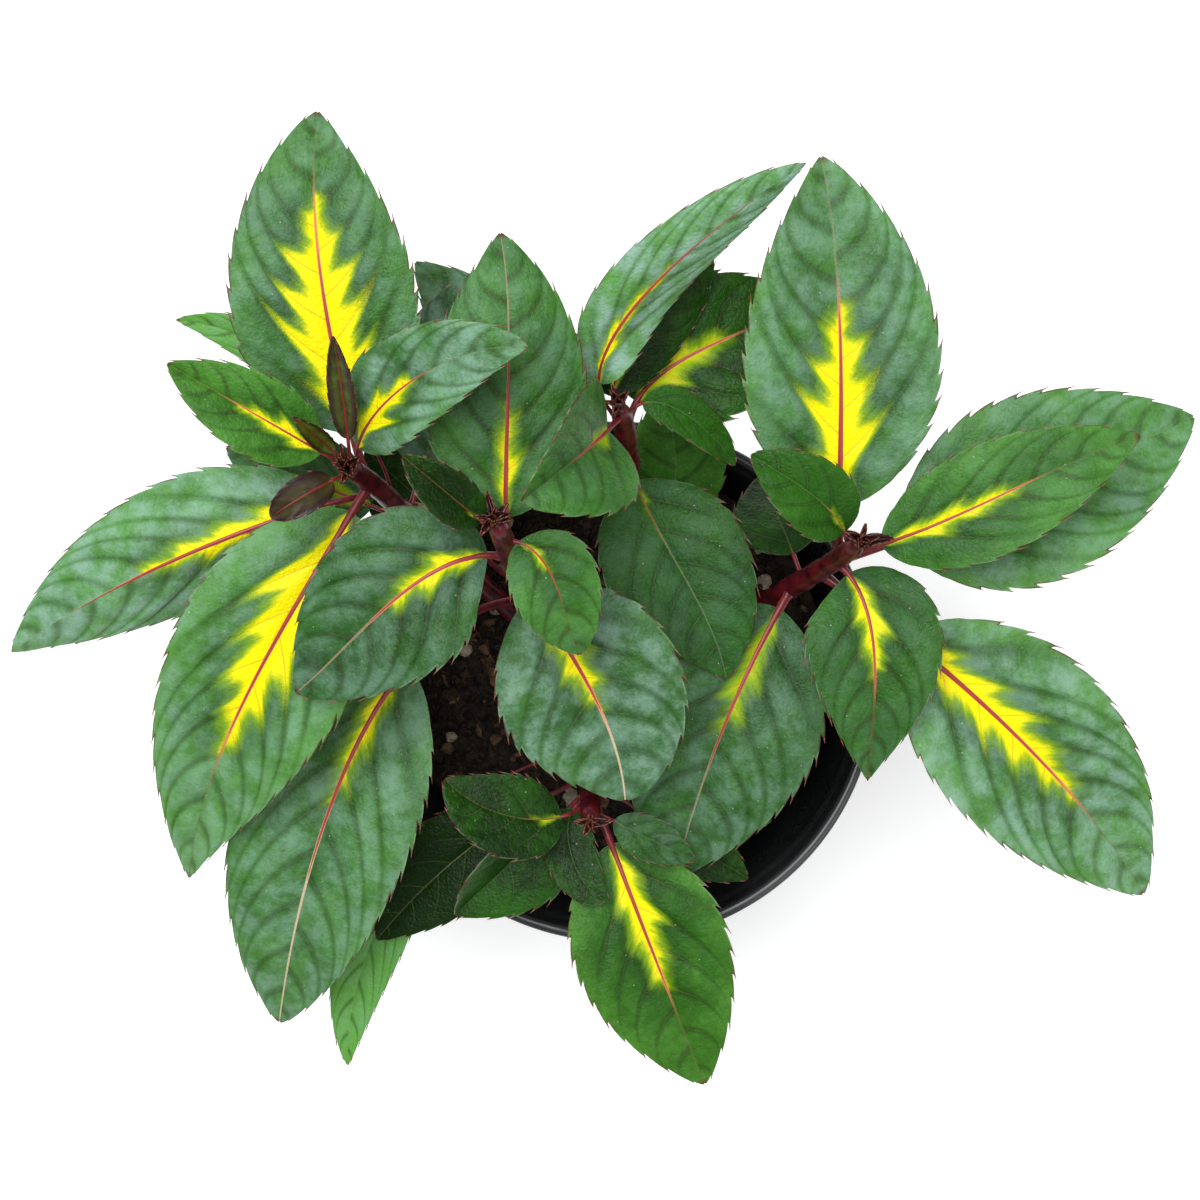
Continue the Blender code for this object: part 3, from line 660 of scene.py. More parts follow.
def buildBlade(shape, seed, size, pucker):
    # the blade as a thin closed shell: points, faces, material numbers and the values its materials read
    chance = random.Random(seed)
    samples = polynomialAt(shape["midrib"], np.linspace(0, 1, 60))
    length = np.linalg.norm(np.diff(samples, axis=0), axis=1).sum()
    teeth = countAlong(length, leafBuild["toothSpacing"], 3.5, leafBuild["teeth"])
    veins = float(countAlong(length, leafBuild["veinSpacing"], 2.5, leafBuild["veins"]))
    marginU, phase, tooth = marginRows(teeth)
    table = np.linspace(0.0, 1.0, 2001)
    q = np.interp(marginU, table + sweepOf(table), table)
    shares = np.array([-x for x in columnShares[:0:-1]] + columnShares)
    qGrid, s = np.meshgrid(q, shares, indexing="ij")
    out = np.abs(s)
    u = qGrid + sweepOf(qGrid) * (0.50 * out + 0.50 * out ** 2)
    points = leafSurface(shape, u, s)
    forward = unit(np.gradient(points, axis=0))
    across = unit(np.gradient(points, axis=1))
    normal = unit(np.cross(across, forward))
    outward = across * np.sign(s)[..., None]
    half = np.linalg.norm(sideAt(shape, "Edge", u, s), axis=-1)
    gap = out * half * bladeProfile(u, shape["round"])
    widest = half.mean()

    # teeth along the margin
    toothLength = length * (leafBuild["lastTooth"] - leafBuild["firstTooth"]) / teeth
    bulge, hook = toothOutline(phase)
    strength = toothStrengths(teeth, chance)
    left = np.array([strength[(n, 0)] for n in tooth])[:, None]
    right = np.array([strength[(n, 1)] for n in tooth])[:, None]
    strong = np.where(s < 0, left, right)
    edge = smoothStep(0.66, 1.0, out) ** 1.4
    shiftOut = toothLength * leafBuild["toothDepth"] * strong * (bulge[:, None] - 0.55) * edge
    shiftOn = toothLength * leafBuild["toothHook"] * strong * hook[:, None] * edge
    tooShort = smoothStep(0.0, 0.0030, gap)
    points = points + outward * (shiftOut * tooShort)[..., None] + forward * (shiftOn * tooShort)[..., None]

    # puckers between the side veins, the furrow of the midrib and some unevenness
    run = qGrid * veins + np.where(s < 0, 0.5, 0.0)
    heights = np.array([chance.uniform(0.35, 1.25) for _ in range(12)])
    dome = np.abs(np.sin(math.pi * run)) ** 0.75 * heights[np.floor(run).astype(int) % 12]
    room = smoothStep(0.0, 0.22, out) * (1.0 - smoothStep(0.72, 1.0, out) * 0.85)
    ends = smoothStep(0.0, 0.10, u) * (1.0 - smoothStep(0.86, 1.0, u))
    lift = leafBuild["dome"] * widest * pucker * (dome - 0.55) * room * ends
    furrow = leafBuild["ribFurrow"] * size * np.exp(-(gap / (0.0013 * size)) ** 2)
    lift -= furrow * smoothStep(0.0, 0.05, u) * (1 - 0.6 * u)
    offset = Vector((seed * 1.7, seed * 0.9, 0.0))
    lift += 0.018 * widest * fineNoise(points, 60.0, offset) * smoothStep(0.1, 1.0, out) * ends
    lift += 0.00016 * fineNoise(points, 330.0, offset) * room
    lift -= 0.00035 * size * smoothStep(0.86, 1.0, out) * ends
    points = points + normal * lift[..., None]

    # the underside has the midrib and the side veins standing out
    swell = 0.00030 * size * np.exp(-(np.abs(np.sin(math.pi * run)) / 0.30) ** 2) * smoothStep(0.02, 0.1, out)
    swell = swell * (1.0 - smoothStep(0.5, 0.95, out))
    thick = np.minimum(leafBuild["thickness"] + swell, leafBuild["thickness"] + gap)
    below = points - normal * thick[..., None]

    ribHalf = size * leafBuild["ribHalfWidth"] * (0.22 + 0.78 * (1.0 - np.clip(u, 0, 1)) ** 1.1)
    ribShare = np.clip(gap / ribHalf, 0.0, 30.0)
    rows, columns = s.shape
    faces, kinds = shellFaces(rows, columns)
    place = np.stack([qGrid, u, s], -1).reshape(-1, 3)
    collectBristles(points, outward, forward, normal, phase, length, chance)
    return {
        "points": np.concatenate([points.reshape(-1, 3), below.reshape(-1, 3)]),
        "faces": faces, "kinds": kinds,
        "place": np.concatenate([place, place]),
        "ribShare": np.concatenate([ribShare.ravel(), ribShare.ravel()]),
        "veins": veins,
    }


def shellFaces(rows, columns):
    faces, kinds = [], []
    under = rows * columns
    for i in range(rows - 1):
        for j in range(columns - 1):
            a, b = i * columns + j, (i + 1) * columns + j
            faces.append((a, a + 1, b + 1, b))
            faces.append((under + a, under + b, under + b + 1, under + a + 1))
            kinds += [0, 1]
    last = columns - 1
    for i in range(rows - 1):
        a, b = i * columns, (i + 1) * columns
        faces.append((a, b, under + b, under + a))
        faces.append((b + last, a + last, under + a + last, under + b + last))
        kinds += [0, 0]
    end = (rows - 1) * columns
    for j in range(columns - 1):
        faces.append((j + 1, j, under + j, under + j + 1))
        faces.append((end + j, end + j + 1, under + end + j + 1, under + end + j))
        kinds += [0, 0]
    return faces, kinds


def collectBristles(points, outward, forward, normal, phase, length, chance):
    # one fine hair at the point of nearly every tooth
    for row in np.flatnonzero(np.abs(phase - leafBuild["toothPoint"]) < 0.001):
        for column in (0, -1):
            if chance.random() < leafBuild["lostBristles"]:
                continue
            lean = 0.66 * forward[row, column] + 0.72 * outward[row, column]
            lean = lean + normal[row, column] * chance.uniform(-0.1, 0.35)
            bristles["points"].append(points[row, column] - lean * 0.0006)
            bristles["directions"].append(unit(lean))
            size = leafBuild["bristle"] * min(1.0, 0.55 + length / 0.12)
            bristles["lengths"].append(size * chance.uniform(0.55, 1.25))


def buildStalk(shape, size, sunk):
    # a round stalk from inside the stem, which goes on as the rib: in the furrow, or sunk under the blade
    start = shape["start"]
    along = np.concatenate([np.linspace(start, 0.06, 14), np.linspace(0.10, 0.80, 18)])
    line = polynomialAt(shape["midrib"], along)
    inside = line[0] - unit(line[1] - line[0]) * 0.0026
    line = np.concatenate([[inside], line])
    along = np.concatenate([[start - 0.02], along])
    slender = np.where(along < 0.02, 1.0, 0.18 + 0.82 * (1 - smoothStep(0.0, 0.9, along)))
    radii = leafBuild["stalkRadius"] * size * slender
    radii[0:2] *= 1.25
    drop = smoothStep(-0.05, 0.06, along) * (radii * sunk + leafBuild["ribFurrow"] * size * 0.9)
    side = np.cross(unit(np.gradient(line, axis=0)), (0.0, 0.0, 1.0))
    below = unit(np.cross(np.gradient(line, axis=0), side))
    line = line + below * drop[:, None]
    sides = leafBuild["stalkSides"]
    surface, faces = tubeAround(line, radii, sides, 0.9)
    place = np.repeat(np.stack([along, along, np.zeros_like(along)], -1), sides, axis=0)
    return surface, faces, place


def leafSize(shape):
    # the leaf's width near its middle, against the usual one
    near = np.array([0.4])
    width = np.linalg.norm(polynomialAt(shape["rightEdge"], near) - polynomialAt(shape["leftEdge"], near))
    return float(np.clip(width / leafBuild["usualWidth"], 0.42, 1.12))


def makeLeafPiece(name, shape, looks, seed, materials, replaced=()):
    reach, spread, tone, red, cream, glow, dull, bloom, pucker = looks
    size = leafSize(shape)
    blade = buildBlade(shape, seed, size, pucker)
    sunk = 0.55 if spread > leafBuild["variegated"] else 1.25
    stalkPoints, stalkFaces, stalkPlace = buildStalk(shape, size, sunk)
    offset = len(blade["points"])
    points = np.concatenate([blade["points"], stalkPoints])
    faces = blade["faces"] + [tuple(i + offset for i in face) for face in stalkFaces]
    kinds = blade["kinds"] + [2] * len(stalkFaces)
    mesh = meshFrom(name, points, faces, kinds)
    mesh.set_sharp_from_angle(angle=math.radians(leafBuild["sharpAngle"]))
    place = np.concatenate([blade["place"], stalkPlace])
    ribShare = np.concatenate([blade["ribShare"], np.zeros(len(stalkPoints))])
    count = len(points)
    setVectors(mesh, "bladePlace", place)
    setVectors(mesh, "leafSkin", np.stack([ribShare, np.full(count, bloom), np.zeros(count)], -1))
    setVectors(mesh, "leafLook", np.tile((reach, spread, tone), (count, 1)))
    setVectors(mesh, "leafVeins", np.tile((red, cream, blade["veins"]), (count, 1)))
    setVectors(mesh, "leafMood", np.tile((glow, dull, seed * 1.37), (count, 1)))
    addPiece(name, mesh, replaced, materials)


def setVectors(mesh, name, values):
    attribute = mesh.attributes.new(name, "FLOAT_VECTOR", "POINT")
    attribute.data.foreach_set("vector", np.asarray(values, np.float32).ravel())


def camelName(node):
    first, *rest = node.split("_")
    return first + "".join(word.capitalize() for word in rest)


leafTop, leafUnderside = bladeMaterial(), undersideMaterial()
leafStalk, youngTop = stalkMaterial(), youngMaterial()
leafNodes = sorted(node for node in nodes if "_leaf_" in node)
leafShapes = {node: readLeaf(node, node.split("_")[0] + "_stem") for node in leafNodes}
for number, (node, shape) in enumerate(leafShapes.items()):
    young = node in youngLeaves
    makeLeafPiece(
        camelName(node), shape, leafLooks[node], number + 1,
        [youngTop if young else leafTop, leafUnderside, leafStalk],
        [node])
print("leaves made:", len(leafNodes))


# stems

stemBuild = {
    "sides": 20,
    "rings": 90,
    "knot": 0.22,              # swelling where a leaf leaves the stem, as a share of the radius
    "knotLength": 0.0035,
    "unevenness": 0.06,
    "solidSides": 8,           # of the solid stems that are read
    "colours": [(0.034, 0.0015, 0.004, 1), (0.125, 0.006, 0.011, 1)],
    "patches": (0.180, 0.040, 0.030, 1),
}


def stemMaterial():
    sheet = ShaderSheet("stemSkin")
    streaks = sheet.noise(320.0, 4.0)
    patches = sheet.step(sheet.noise(45.0, 3.0), 0.60, 0.80, 0.0, 0.30)
    red = sheet.mix(sheet.step(streaks, 0.32, 0.68), *stemBuild["colours"])
    colour = sheet.mix(patches, red, stemBuild["patches"])
    return sheet.finish(colour, 0.32, sheet.bump(streaks, 0.40, 0.00030), Specular_IOR_Level=0.35)


def readStem(node):
    solid = weldedSolid(node)
    sides = stemBuild["solidSides"]
    lowest = sorted(solid.verts, key=lambda v: v.co.z)[:sides]
    rings = [rowPoints(row) for row in rowsFrom(lowest) if len(row) == sides]
    solid.free()
    centres = np.array([ring.mean(0) for ring in rings])
    radii = np.array([np.linalg.norm(ring - ring.mean(0), axis=1).mean() for ring in rings])
    shares = np.linspace(0.0, 1.0, len(rings))
    return np.polyfit(shares, centres, 3), np.polyfit(shares, radii, 1)


def makeStem(shoot, material, leafFeet):
    line, radius = readStem(shoot + "_stem")
    shares = np.linspace(0.0, 1.0, stemBuild["rings"])
    points = polynomialAt(line, shares)
    radii = np.polyval(radius, shares)
    knots = np.zeros(len(points))
    for foot in leafFeet:
        distance = np.linalg.norm(points - foot, axis=1)
        knots = np.maximum(knots, np.exp(-((distance - radii) / stemBuild["knotLength"]) ** 2))
    radii = radii * (1.0 + stemBuild["knot"] * knots)
    radii[-3:] *= (0.9, 0.7, 0.4)
    surface, faces = tubeAround(points, radii, stemBuild["sides"])
    centres = np.repeat(points, stemBuild["sides"], axis=0)
    uneven = fineNoise(surface, 260.0, Vector((3.0, 1.0, 7.0)))[:, None] * stemBuild["unevenness"]
    surface = surface + (surface - centres) * uneven
    mesh = meshFrom(shoot + "Stem", surface, faces)
    mesh.set_sharp_from_angle(angle=math.radians(70))
    addPiece(shoot + "Stem", mesh, [shoot + "_stem"], [material])
    return points[-1], unit(points[-1] - points[-4])


# tight clusters of young leaves at the shoots' ends

budBuild = {
    "left": {"leaflets": 13, "length": 0.0110, "tone": 0.20},
    "middle": {"leaflets": 15, "length": 0.0085, "tone": 0.00},
    "back": {"leaflets": 13, "length": 0.0085, "tone": 0.00},
    "right": {"leaflets": 13, "length": 0.0100, "tone": 0.10},
    "front": {"leaflets": 13, "length": 0.0075, "tone": 0.05},
}
turnBetween = math.radians(137.5)  # from one leaflet to the next round the apex
leafletFold = 0.75


def leafletShape(foot, axis, turn, length, lean, width):
    # a small folded leaflet that leaves the apex and curves outwards
    side = unit(np.cross(axis, (math.cos(turn), math.sin(turn), 0.05)))
    outward = unit(np.cross(side, axis))
    t = np.linspace(0.0, 1.0, 6)[:, None]
    angle = lean * (0.35 + 0.9 * t)
    path = foot + length * t * (axis * np.cos(angle) + outward * np.sin(angle))
    facing = unit(np.cross(side, path[-1] - path[0]))
    facing = facing if facing @ axis > 0 or facing @ outward < 0 else -facing
    rightWay = np.cross(unit(path[-1] - path[0]), facing)
    level, raised = rightWay * math.cos(leafletFold), facing * math.sin(leafletFold)
    rightEdge = width / 2 * (level + raised)
    leftEdge = width / 2 * (-level + raised)
    none = np.zeros((1, 3))
    return {
        "midrib": np.polyfit(t[:, 0], path, 3), "start": -0.08, "round": (0.72, 0.92),
        "leftEdge": leftEdge[None], "rightEdge": rightEdge[None], "leftSag": none, "rightSag": none,
    }


def makeBud(shoot, apex, axis):
    build = budBuild[shoot]
    looks = (0.0, 0.0, build["tone"], 1.0, 0.0, 0.0, 0.0, 0.0, 0.5)
    foot = np.array(apex) - axis * 0.0008
    chance = random.Random(len(shoot) * 31)
    for i in range(build["leaflets"]):
        turn = i * turnBetween + chance.uniform(-0.7, 0.7)
        share = i / (build["leaflets"] - 1)
        length = build["length"] * (1.05 - 0.45 * share) * chance.uniform(0.5, 1.3)
        lean = math.radians(40 - 28 * share) * chance.uniform(0.3, 1.4)
        shape = leafletShape(foot, axis, turn, length, lean, length * chance.uniform(0.18, 0.40))
        makeLeafPiece(
            f"{shoot}BudLeaflet{i + 1}", shape, looks, 200 + i, [youngTop, leafUnderside, leafStalk],
            [f"{shoot}_bud"] if i == 0 else [])


leafFeet = {}
for node, shape in leafShapes.items():
    foot = polynomialAt(shape["midrib"], np.array([shape["start"]]))[0]
    leafFeet.setdefault(node.split("_")[0], []).append(foot)
stemSkin = stemMaterial()
for shoot in budBuild:
    apex, axis = makeStem(shoot, stemSkin, leafFeet[shoot])
    makeBud(shoot, apex, axis)
print("stems and buds made")


# helpers for Geometry Nodes

def newGeometryTree(name, inputs):
    tree = bpy.data.node_groups.new(name, "GeometryNodeTree")
    tree.interface.new_socket("Geometry", in_out="INPUT", socket_type="NodeSocketGeometry")
    for label, kind in inputs:
        tree.interface.new_socket(label, in_out="INPUT", socket_type="NodeSocket" + kind)
    tree.interface.new_socket("Geometry", in_out="OUTPUT", socket_type="NodeSocketGeometry")
    return tree, addNode(tree, "NodeGroupInput").outputs, addNode(tree, "NodeGroupOutput").inputs[0]


def endTree(tree, geometry, material, output):
    real = firstOutput(tree, "GeometryNodeRealizeInstances", inputs={0: geometry})
    tree.links.new(firstOutput(tree, "GeometryNodeSetMaterial", inputs={
        "Geometry": real, "Material": material}), output)


def grownMesh(name, startMesh, tree, values):
    # runs a tree on a mesh once and returns the plain mesh that it makes
    carrier = linkObject(name + "Carrier", startMesh)
    modifier = carrier.modifiers.new(tree.name, "NODES")
    modifier.node_group = tree
    for item in tree.interface.items_tree:
        if item.in_out == "INPUT" and item.name in values:
            modifier[item.identifier] = values[item.name]
    bpy.context.view_layer.update()
    graph = bpy.context.evaluated_depsgraph_get()
    mesh = bpy.data.meshes.new_from_object(carrier.evaluated_get(graph), depsgraph=graph)
    carrier.modifiers.remove(modifier)
    bpy.data.objects.remove(carrier)
    mesh.name = name
    return mesh


# bristles along the leaf margins

bristleBuild = {"Radius": 0.00022, "Tip": 0.00002, "Sides": 4}
bristleColours = [(0.110, 0.028, 0.018, 1), (0.330, 0.120, 0.070, 1)]


def bristleMaterial():
    sheet = ShaderSheet("bristle")
    return sheet.finish(sheet.mix(sheet.noise(900.0, 1.0), *bristleColours), 0.45)


def bristleTree():
    # a cone at every root, turned and stretched by the root's own lean and length
    tree, given, output = newGeometryTree("marginBristles", [
        ("Radius", "Float"), ("Tip", "Float"), ("Sides", "Int"), ("Material", "Material")])

    def read(name, kind):
        return firstOutput(tree, "GeometryNodeInputNamedAttribute", {"data_type": kind}, {"Name": name})

    cone = firstOutput(tree, "GeometryNodeMeshCone", inputs={
        "Vertices": given["Sides"], "Radius Top": given["Tip"], "Radius Bottom": given["Radius"],
        "Depth": 1.0})
    turn = firstOutput(tree, "FunctionNodeAlignRotationToVector", {"axis": "Z"}, {
        "Vector": read("lean", "FLOAT_VECTOR")})
    scale = firstOutput(tree, "ShaderNodeCombineXYZ", inputs={0: 1.0, 1: 1.0, 2: read("long", "FLOAT")})
    placed = firstOutput(tree, "GeometryNodeInstanceOnPoints", inputs={
        "Points": given["Geometry"], "Instance": cone, "Rotation": turn, "Scale": scale})
    endTree(tree, placed, given["Material"], output)
    return tree


roots = meshFrom("bristleRoots", bristles["points"], [])
setVectors(roots, "lean", np.array(bristles["directions"]))
bristleLengths = roots.attributes.new("long", "FLOAT", "POINT")
bristleLengths.data.foreach_set("value", np.array(bristles["lengths"], np.float32))
bristleMesh = grownMesh("marginBristles", roots, bristleTree(), {
    **bristleBuild, "Material": bristleMaterial()})
addPiece("marginBristles", bristleMesh)
print("bristles made:", len(bristles["points"]))


# soil

soilBuild = {
    "rings": 100,
    "sectors": 200,
    "press": 0.0005,           # how far its edge goes into the wall
    "bareRings": 4,            # along the wall, where no grains lie
    "topDepth": 0.024,         # the solid's points less than this below its highest are its top
    "unit": 0.07,              # of length, in the fit of the top
    "edgeSectors": 48,
    "lump": 0.0016,
    "grain": 0.0006,
    "crumbs": {"Density": 210000.0, "Size": 0.0012, "Spread": 0.75, "Roughness": 0.5, "Seed": 3, "Faces": 1},
    "perlite": {"Density": 5200.0, "Size": 0.0022, "Spread": 0.40, "Roughness": 0.25, "Seed": 11, "Faces": 2},
    "chips": {"Density": 9000.0, "Size": 0.0019, "Spread": 0.8, "Roughness": 0.5, "Seed": 29, "Faces": 1},
}


def soilMaterial(name, dark, light, scale):
    sheet = ShaderSheet(name)
    colour = sheet.mix(sheet.step(sheet.noise(scale, 4.0, 0.65), 0.35, 0.70), dark, light)
    rough = sheet.bump(sheet.noise(1400.0, 3.0), 0.8, 0.0004)
    return sheet.finish(colour, 0.88, rough, Specular_IOR_Level=0.3)


def soilTopFit():
    # the solid's top as a cubic in x and y, without the stems' sockets, how its edge widens with height,
    # its lowest level and its radius there
    low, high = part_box("soil")
    points = np.array([tuple(v.co) for v in nodes["soil"].data.vertices])
    distances = np.hypot(points[:, 0], points[:, 1])
    onTop = points[:, 2] > high.z - soilBuild["topDepth"]
    top, distance = points[onTop], distances[onTop]
    kept = np.linalg.lstsq(soilTerms(top[:, 0], top[:, 1]), top[:, 2], rcond=None)[0]
    sector = np.floor(np.arctan2(top[:, 1], top[:, 0]) / math.tau * soilBuild["edgeSectors"])
    outermost = [np.flatnonzero(sector == k)[np.argmax(distance[sector == k])] for k in np.unique(sector)]
    widening = np.polyfit(top[outermost, 2], distance[outermost], 1)
    return kept, widening, low.z, distances[points[:, 2] < low.z + 0.001].max()


def soilTerms(x, y):
    x, y = x / soilBuild["unit"], y / soilBuild["unit"]
    return np.stack([np.ones_like(x), x, y, x * x, x * y, y * y, x ** 3, x * x * y, x * y * y, y ** 3], -1)


def makeSoil(material):
    fit, widening, floor, floorEdge = soilTopFit()
    rings, sectors = soilBuild["rings"], soilBuild["sectors"]
    angles = np.arange(sectors) * math.tau / sectors
    edge = np.full(sectors, floorEdge)
    for _ in range(6):  # the edge and its height depend on each other, and soon agree
        height = soilTerms(edge * np.cos(angles), edge * np.sin(angles)) @ fit
        edge = np.polyval(widening, height) + soilBuild["press"]
    share, a = np.meshgrid(np.linspace(0.0, 1.0, rings + 1)[1:], angles, indexing="ij")
    x, y = share * edge * np.cos(a), share * edge * np.sin(a)
    z = (soilTerms(x.ravel(), y.ravel()) @ fit).reshape(x.shape)
    points = np.stack([x, y, z], -1)
    calm = 1.0 - smoothStep(0.93, 1.0, share)
    points[..., 2] += soilBuild["lump"] * fineNoise(points, 120.0, Vector((0, 0, 5))) * calm
    points[..., 2] += soilBuild["grain"] * fineNoise(points, 420.0, Vector((9, 0, 0))) * calm
    centre = np.array([[0.0, 0.0, float(soilTerms(np.zeros(1), np.zeros(1)) @ fit)]])
    under = np.stack([np.cos(angles) * floorEdge, np.sin(angles) * floorEdge, np.full(sectors, floor)], -1)
    points = np.concatenate([points.reshape(-1, 3), under, centre, [[0.0, 0.0, floor]]])
    middle, bottom = len(points) - 2, len(points) - 1
    faces = [(middle, j, (j + 1) % sectors) for j in range(sectors)]
    for i in range(rings):
        for j in range(sectors):
            k = (j + 1) % sectors
            faces.append((i * sectors + j, (i + 1) * sectors + j, (i + 1) * sectors + k, i * sectors + k))
    faces += [(bottom, rings * sectors + (j + 1) % sectors, rings * sectors + j) for j in range(sectors)]
    mesh = meshFrom("pottingSoil", points, faces)
    addPiece("pottingSoil", mesh, ["soil"], [material])
    return mesh, (rings - soilBuild["bareRings"]) * sectors


def scatterTree():
    # irregular grains over a surface
    tree, given, output = newGeometryTree("soilGrains", [
        ("Density", "Float"), ("Size", "Float"), ("Spread", "Float"), ("Roughness", "Float"),
        ("Seed", "Int"), ("Faces", "Int"), ("Material", "Material")])

    def calculate(operation, a, b):
        return firstOutput(tree, "ShaderNodeMath", {"operation": operation}, {0: a, 1: b})

    def chance(least, most):
        return firstOutput(tree, "FunctionNodeRandomValue", {"data_type": "FLOAT_VECTOR"}, {
            "Min": least, "Max": most, "Seed": given["Seed"]})

    spots = firstOutput(tree, "GeometryNodeDistributePointsOnFaces", {"distribute_method": "RANDOM"}, {
        "Mesh": given["Geometry"], "Density": given["Density"], "Seed": given["Seed"]})
    grain = firstOutput(tree, "GeometryNodeMeshIcoSphere", inputs={
        "Radius": given["Size"], "Subdivisions": given["Faces"]})
    turn = chance((0.0, 0.0, 0.0), (6.283, 6.283, 6.283))
    scale = chance(calculate("SUBTRACT", 1.0, given["Spread"]), calculate("ADD", 1.0, given["Spread"]))
    placed = firstOutput(tree, "GeometryNodeInstanceOnPoints", inputs={
        "Points": spots, "Instance": grain, "Rotation": turn, "Scale": scale})
    real = firstOutput(tree, "GeometryNodeRealizeInstances", inputs={0: placed})
    position = firstOutput(tree, "GeometryNodeInputPosition")
    rough = addNode(tree, "ShaderNodeTexNoise", inputs={"Vector": position, "Scale": 700.0, "Detail": 1.0})
    centred = firstOutput(tree, "ShaderNodeVectorMath", {"operation": "SUBTRACT"}, {
        0: rough.outputs["Color"], 1: (0.5, 0.5, 0.5)})
    amount = calculate("MULTIPLY", calculate("MULTIPLY", given["Size"], given["Roughness"]), 4.0)
    push = firstOutput(tree, "ShaderNodeVectorMath", {"operation": "SCALE"}, {0: centred, "Scale": amount})
    knobbly = firstOutput(tree, "GeometryNodeSetPosition", inputs={"Geometry": real, "Offset": push})
    endTree(tree, knobbly, given["Material"], output)
    return tree


def soilTopMesh(mesh, count):
    # only the top's faces, for the grains to lie on
    points = [tuple(v.co) for v in mesh.vertices][:count]
    faces = [tuple(p.vertices) for p in mesh.polygons if all(v < count for v in p.vertices)]
    return meshFrom("soilTop", points, faces)


peat = soilMaterial("peat", (0.006, 0.004, 0.003, 1), (0.034, 0.022, 0.014, 1), 260.0)
soilMesh, topCount = makeSoil(peat)
grains = scatterTree()
grainPaints = {
    "crumbs": soilMaterial("peatCrumbs", (0.006, 0.004, 0.003, 1), (0.060, 0.038, 0.024, 1), 300.0),
    "perlite": soilMaterial("perlite", (0.230, 0.180, 0.130, 1), (0.560, 0.480, 0.370, 1), 240.0),
    "chips": soilMaterial("barkChips", (0.050, 0.026, 0.014, 1), (0.200, 0.120, 0.065, 1), 210.0),
}
for kind, paint in grainPaints.items():
    name = "soil" + kind.capitalize()
    values = {**soilBuild[kind], "Material": paint}
    addPiece(name, grownMesh(name, soilTopMesh(soilMesh, topCount), grains, values))
print("soil made")


# pot

potBuild = {
    "wall": 0.0015,
    "collarHeight": 0.016,
    "collarStep": 0.0028,
    "lip": 0.0034,
    "baseShare": 0.7125,       # the foot's radius as a share of the rim's
    "floor": 0.0018,
    "ringRise": 0.0025,
    "ringInner": 0.027,
    "ringOuter": 0.049,
    "steps": 192,
    "sharpAngle": 38,
    "colours": [(0.024, 0.027, 0.028, 1), (0.040, 0.043, 0.045, 1)],
    "dust": (0.110, 0.090, 0.070, 1),
}
drainBuild = {"Holes": 6, "Circle": 0.038, "Hole radius": 0.005}


def plasticMaterial():
    sheet = ShaderSheet("blackPlastic")
    worn = sheet.step(sheet.noise(38.0, 5.0, 0.6), 0.35, 0.85)
    colour = sheet.mix(worn, *potBuild["colours"])
    colour = sheet.mix(sheet.specks(210.0, (0.90, 0.94), 0.15), colour, potBuild["dust"])
    roughness = sheet.step(worn, 0.0, 1.0, 0.27, 0.42)
    scuffs = sheet.bump(sheet.noise(480.0, 3.0), 0.12, 0.00020)
    return sheet.finish(colour, roughness, scuffs, Specular_IOR_Level=0.5)


def potProfile():
    # the wall's outline, from the middle of the floor up the inside and down the outside
    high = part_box("pot")[1]
    rim, height, b = high.x, high.z, potBuild
    collar = height - b["collarHeight"]
    foot = rim * b["baseShare"]
    floor, rise, inner, outermost = b["floor"], b["ringRise"], b["ringInner"], b["ringOuter"]

    def outer(z):
        return foot + (rim - b["collarStep"] - foot) * z / collar

    def innerWall(z):
        return outer(z) - b["wall"]

    lipIn = rim - b["lip"]
    lipRise = 0.0013
    lip = []
    for i in range(9):
        angle = math.pi * (1 - i / 8)
        r = rim - b["lip"] / 2 + math.cos(angle) * b["lip"] / 2
        lip.append((r, height - lipRise + math.sin(angle) * lipRise))
    floorTop = [
        (0.0, floor), (inner - 0.0025, floor), (inner - 0.0015, floor + 0.0004),
        (inner, floor + rise), (outermost, floor + rise),
        (outermost + 0.0015, floor + 0.0004), (outermost + 0.0025, floor),
        (innerWall(0.0) - 0.0035, floor), (innerWall(0.001) - 0.0010, floor + 0.0010),
        (innerWall(0.004), floor + 0.0035)]
    inside = [(innerWall(z), z) for z in np.linspace(0.02, collar - 0.001, 8)]
    step = [(lipIn - 0.0012, collar + 0.0022), (lipIn - 0.0004, collar + 0.0040), (lipIn, collar + 0.0060)]
    collarSide = [
        (rim, height - 0.0030), (rim - 0.0012, collar + 0.0012), (rim - 0.0016, collar + 0.0003),
        (outer(collar) + 0.0004, collar), (outer(collar), collar - 0.0006)]
    outside = [(outer(z), z) for z in np.linspace(collar - 0.008, 0.003, 8)]
    under = [
        (outer(0.0) - 0.0002, 0.0008), (outer(0.0) - 0.0010, 0.0), (outermost + 0.0022, 0.0),
        (outermost + 0.0010, 0.0004), (outermost, rise), (inner, rise),
        (inner - 0.0010, 0.0004), (inner - 0.0022, 0.0), (0.0, 0.0)]
    return floorTop + inside + step + lip + collarSide + outside + under


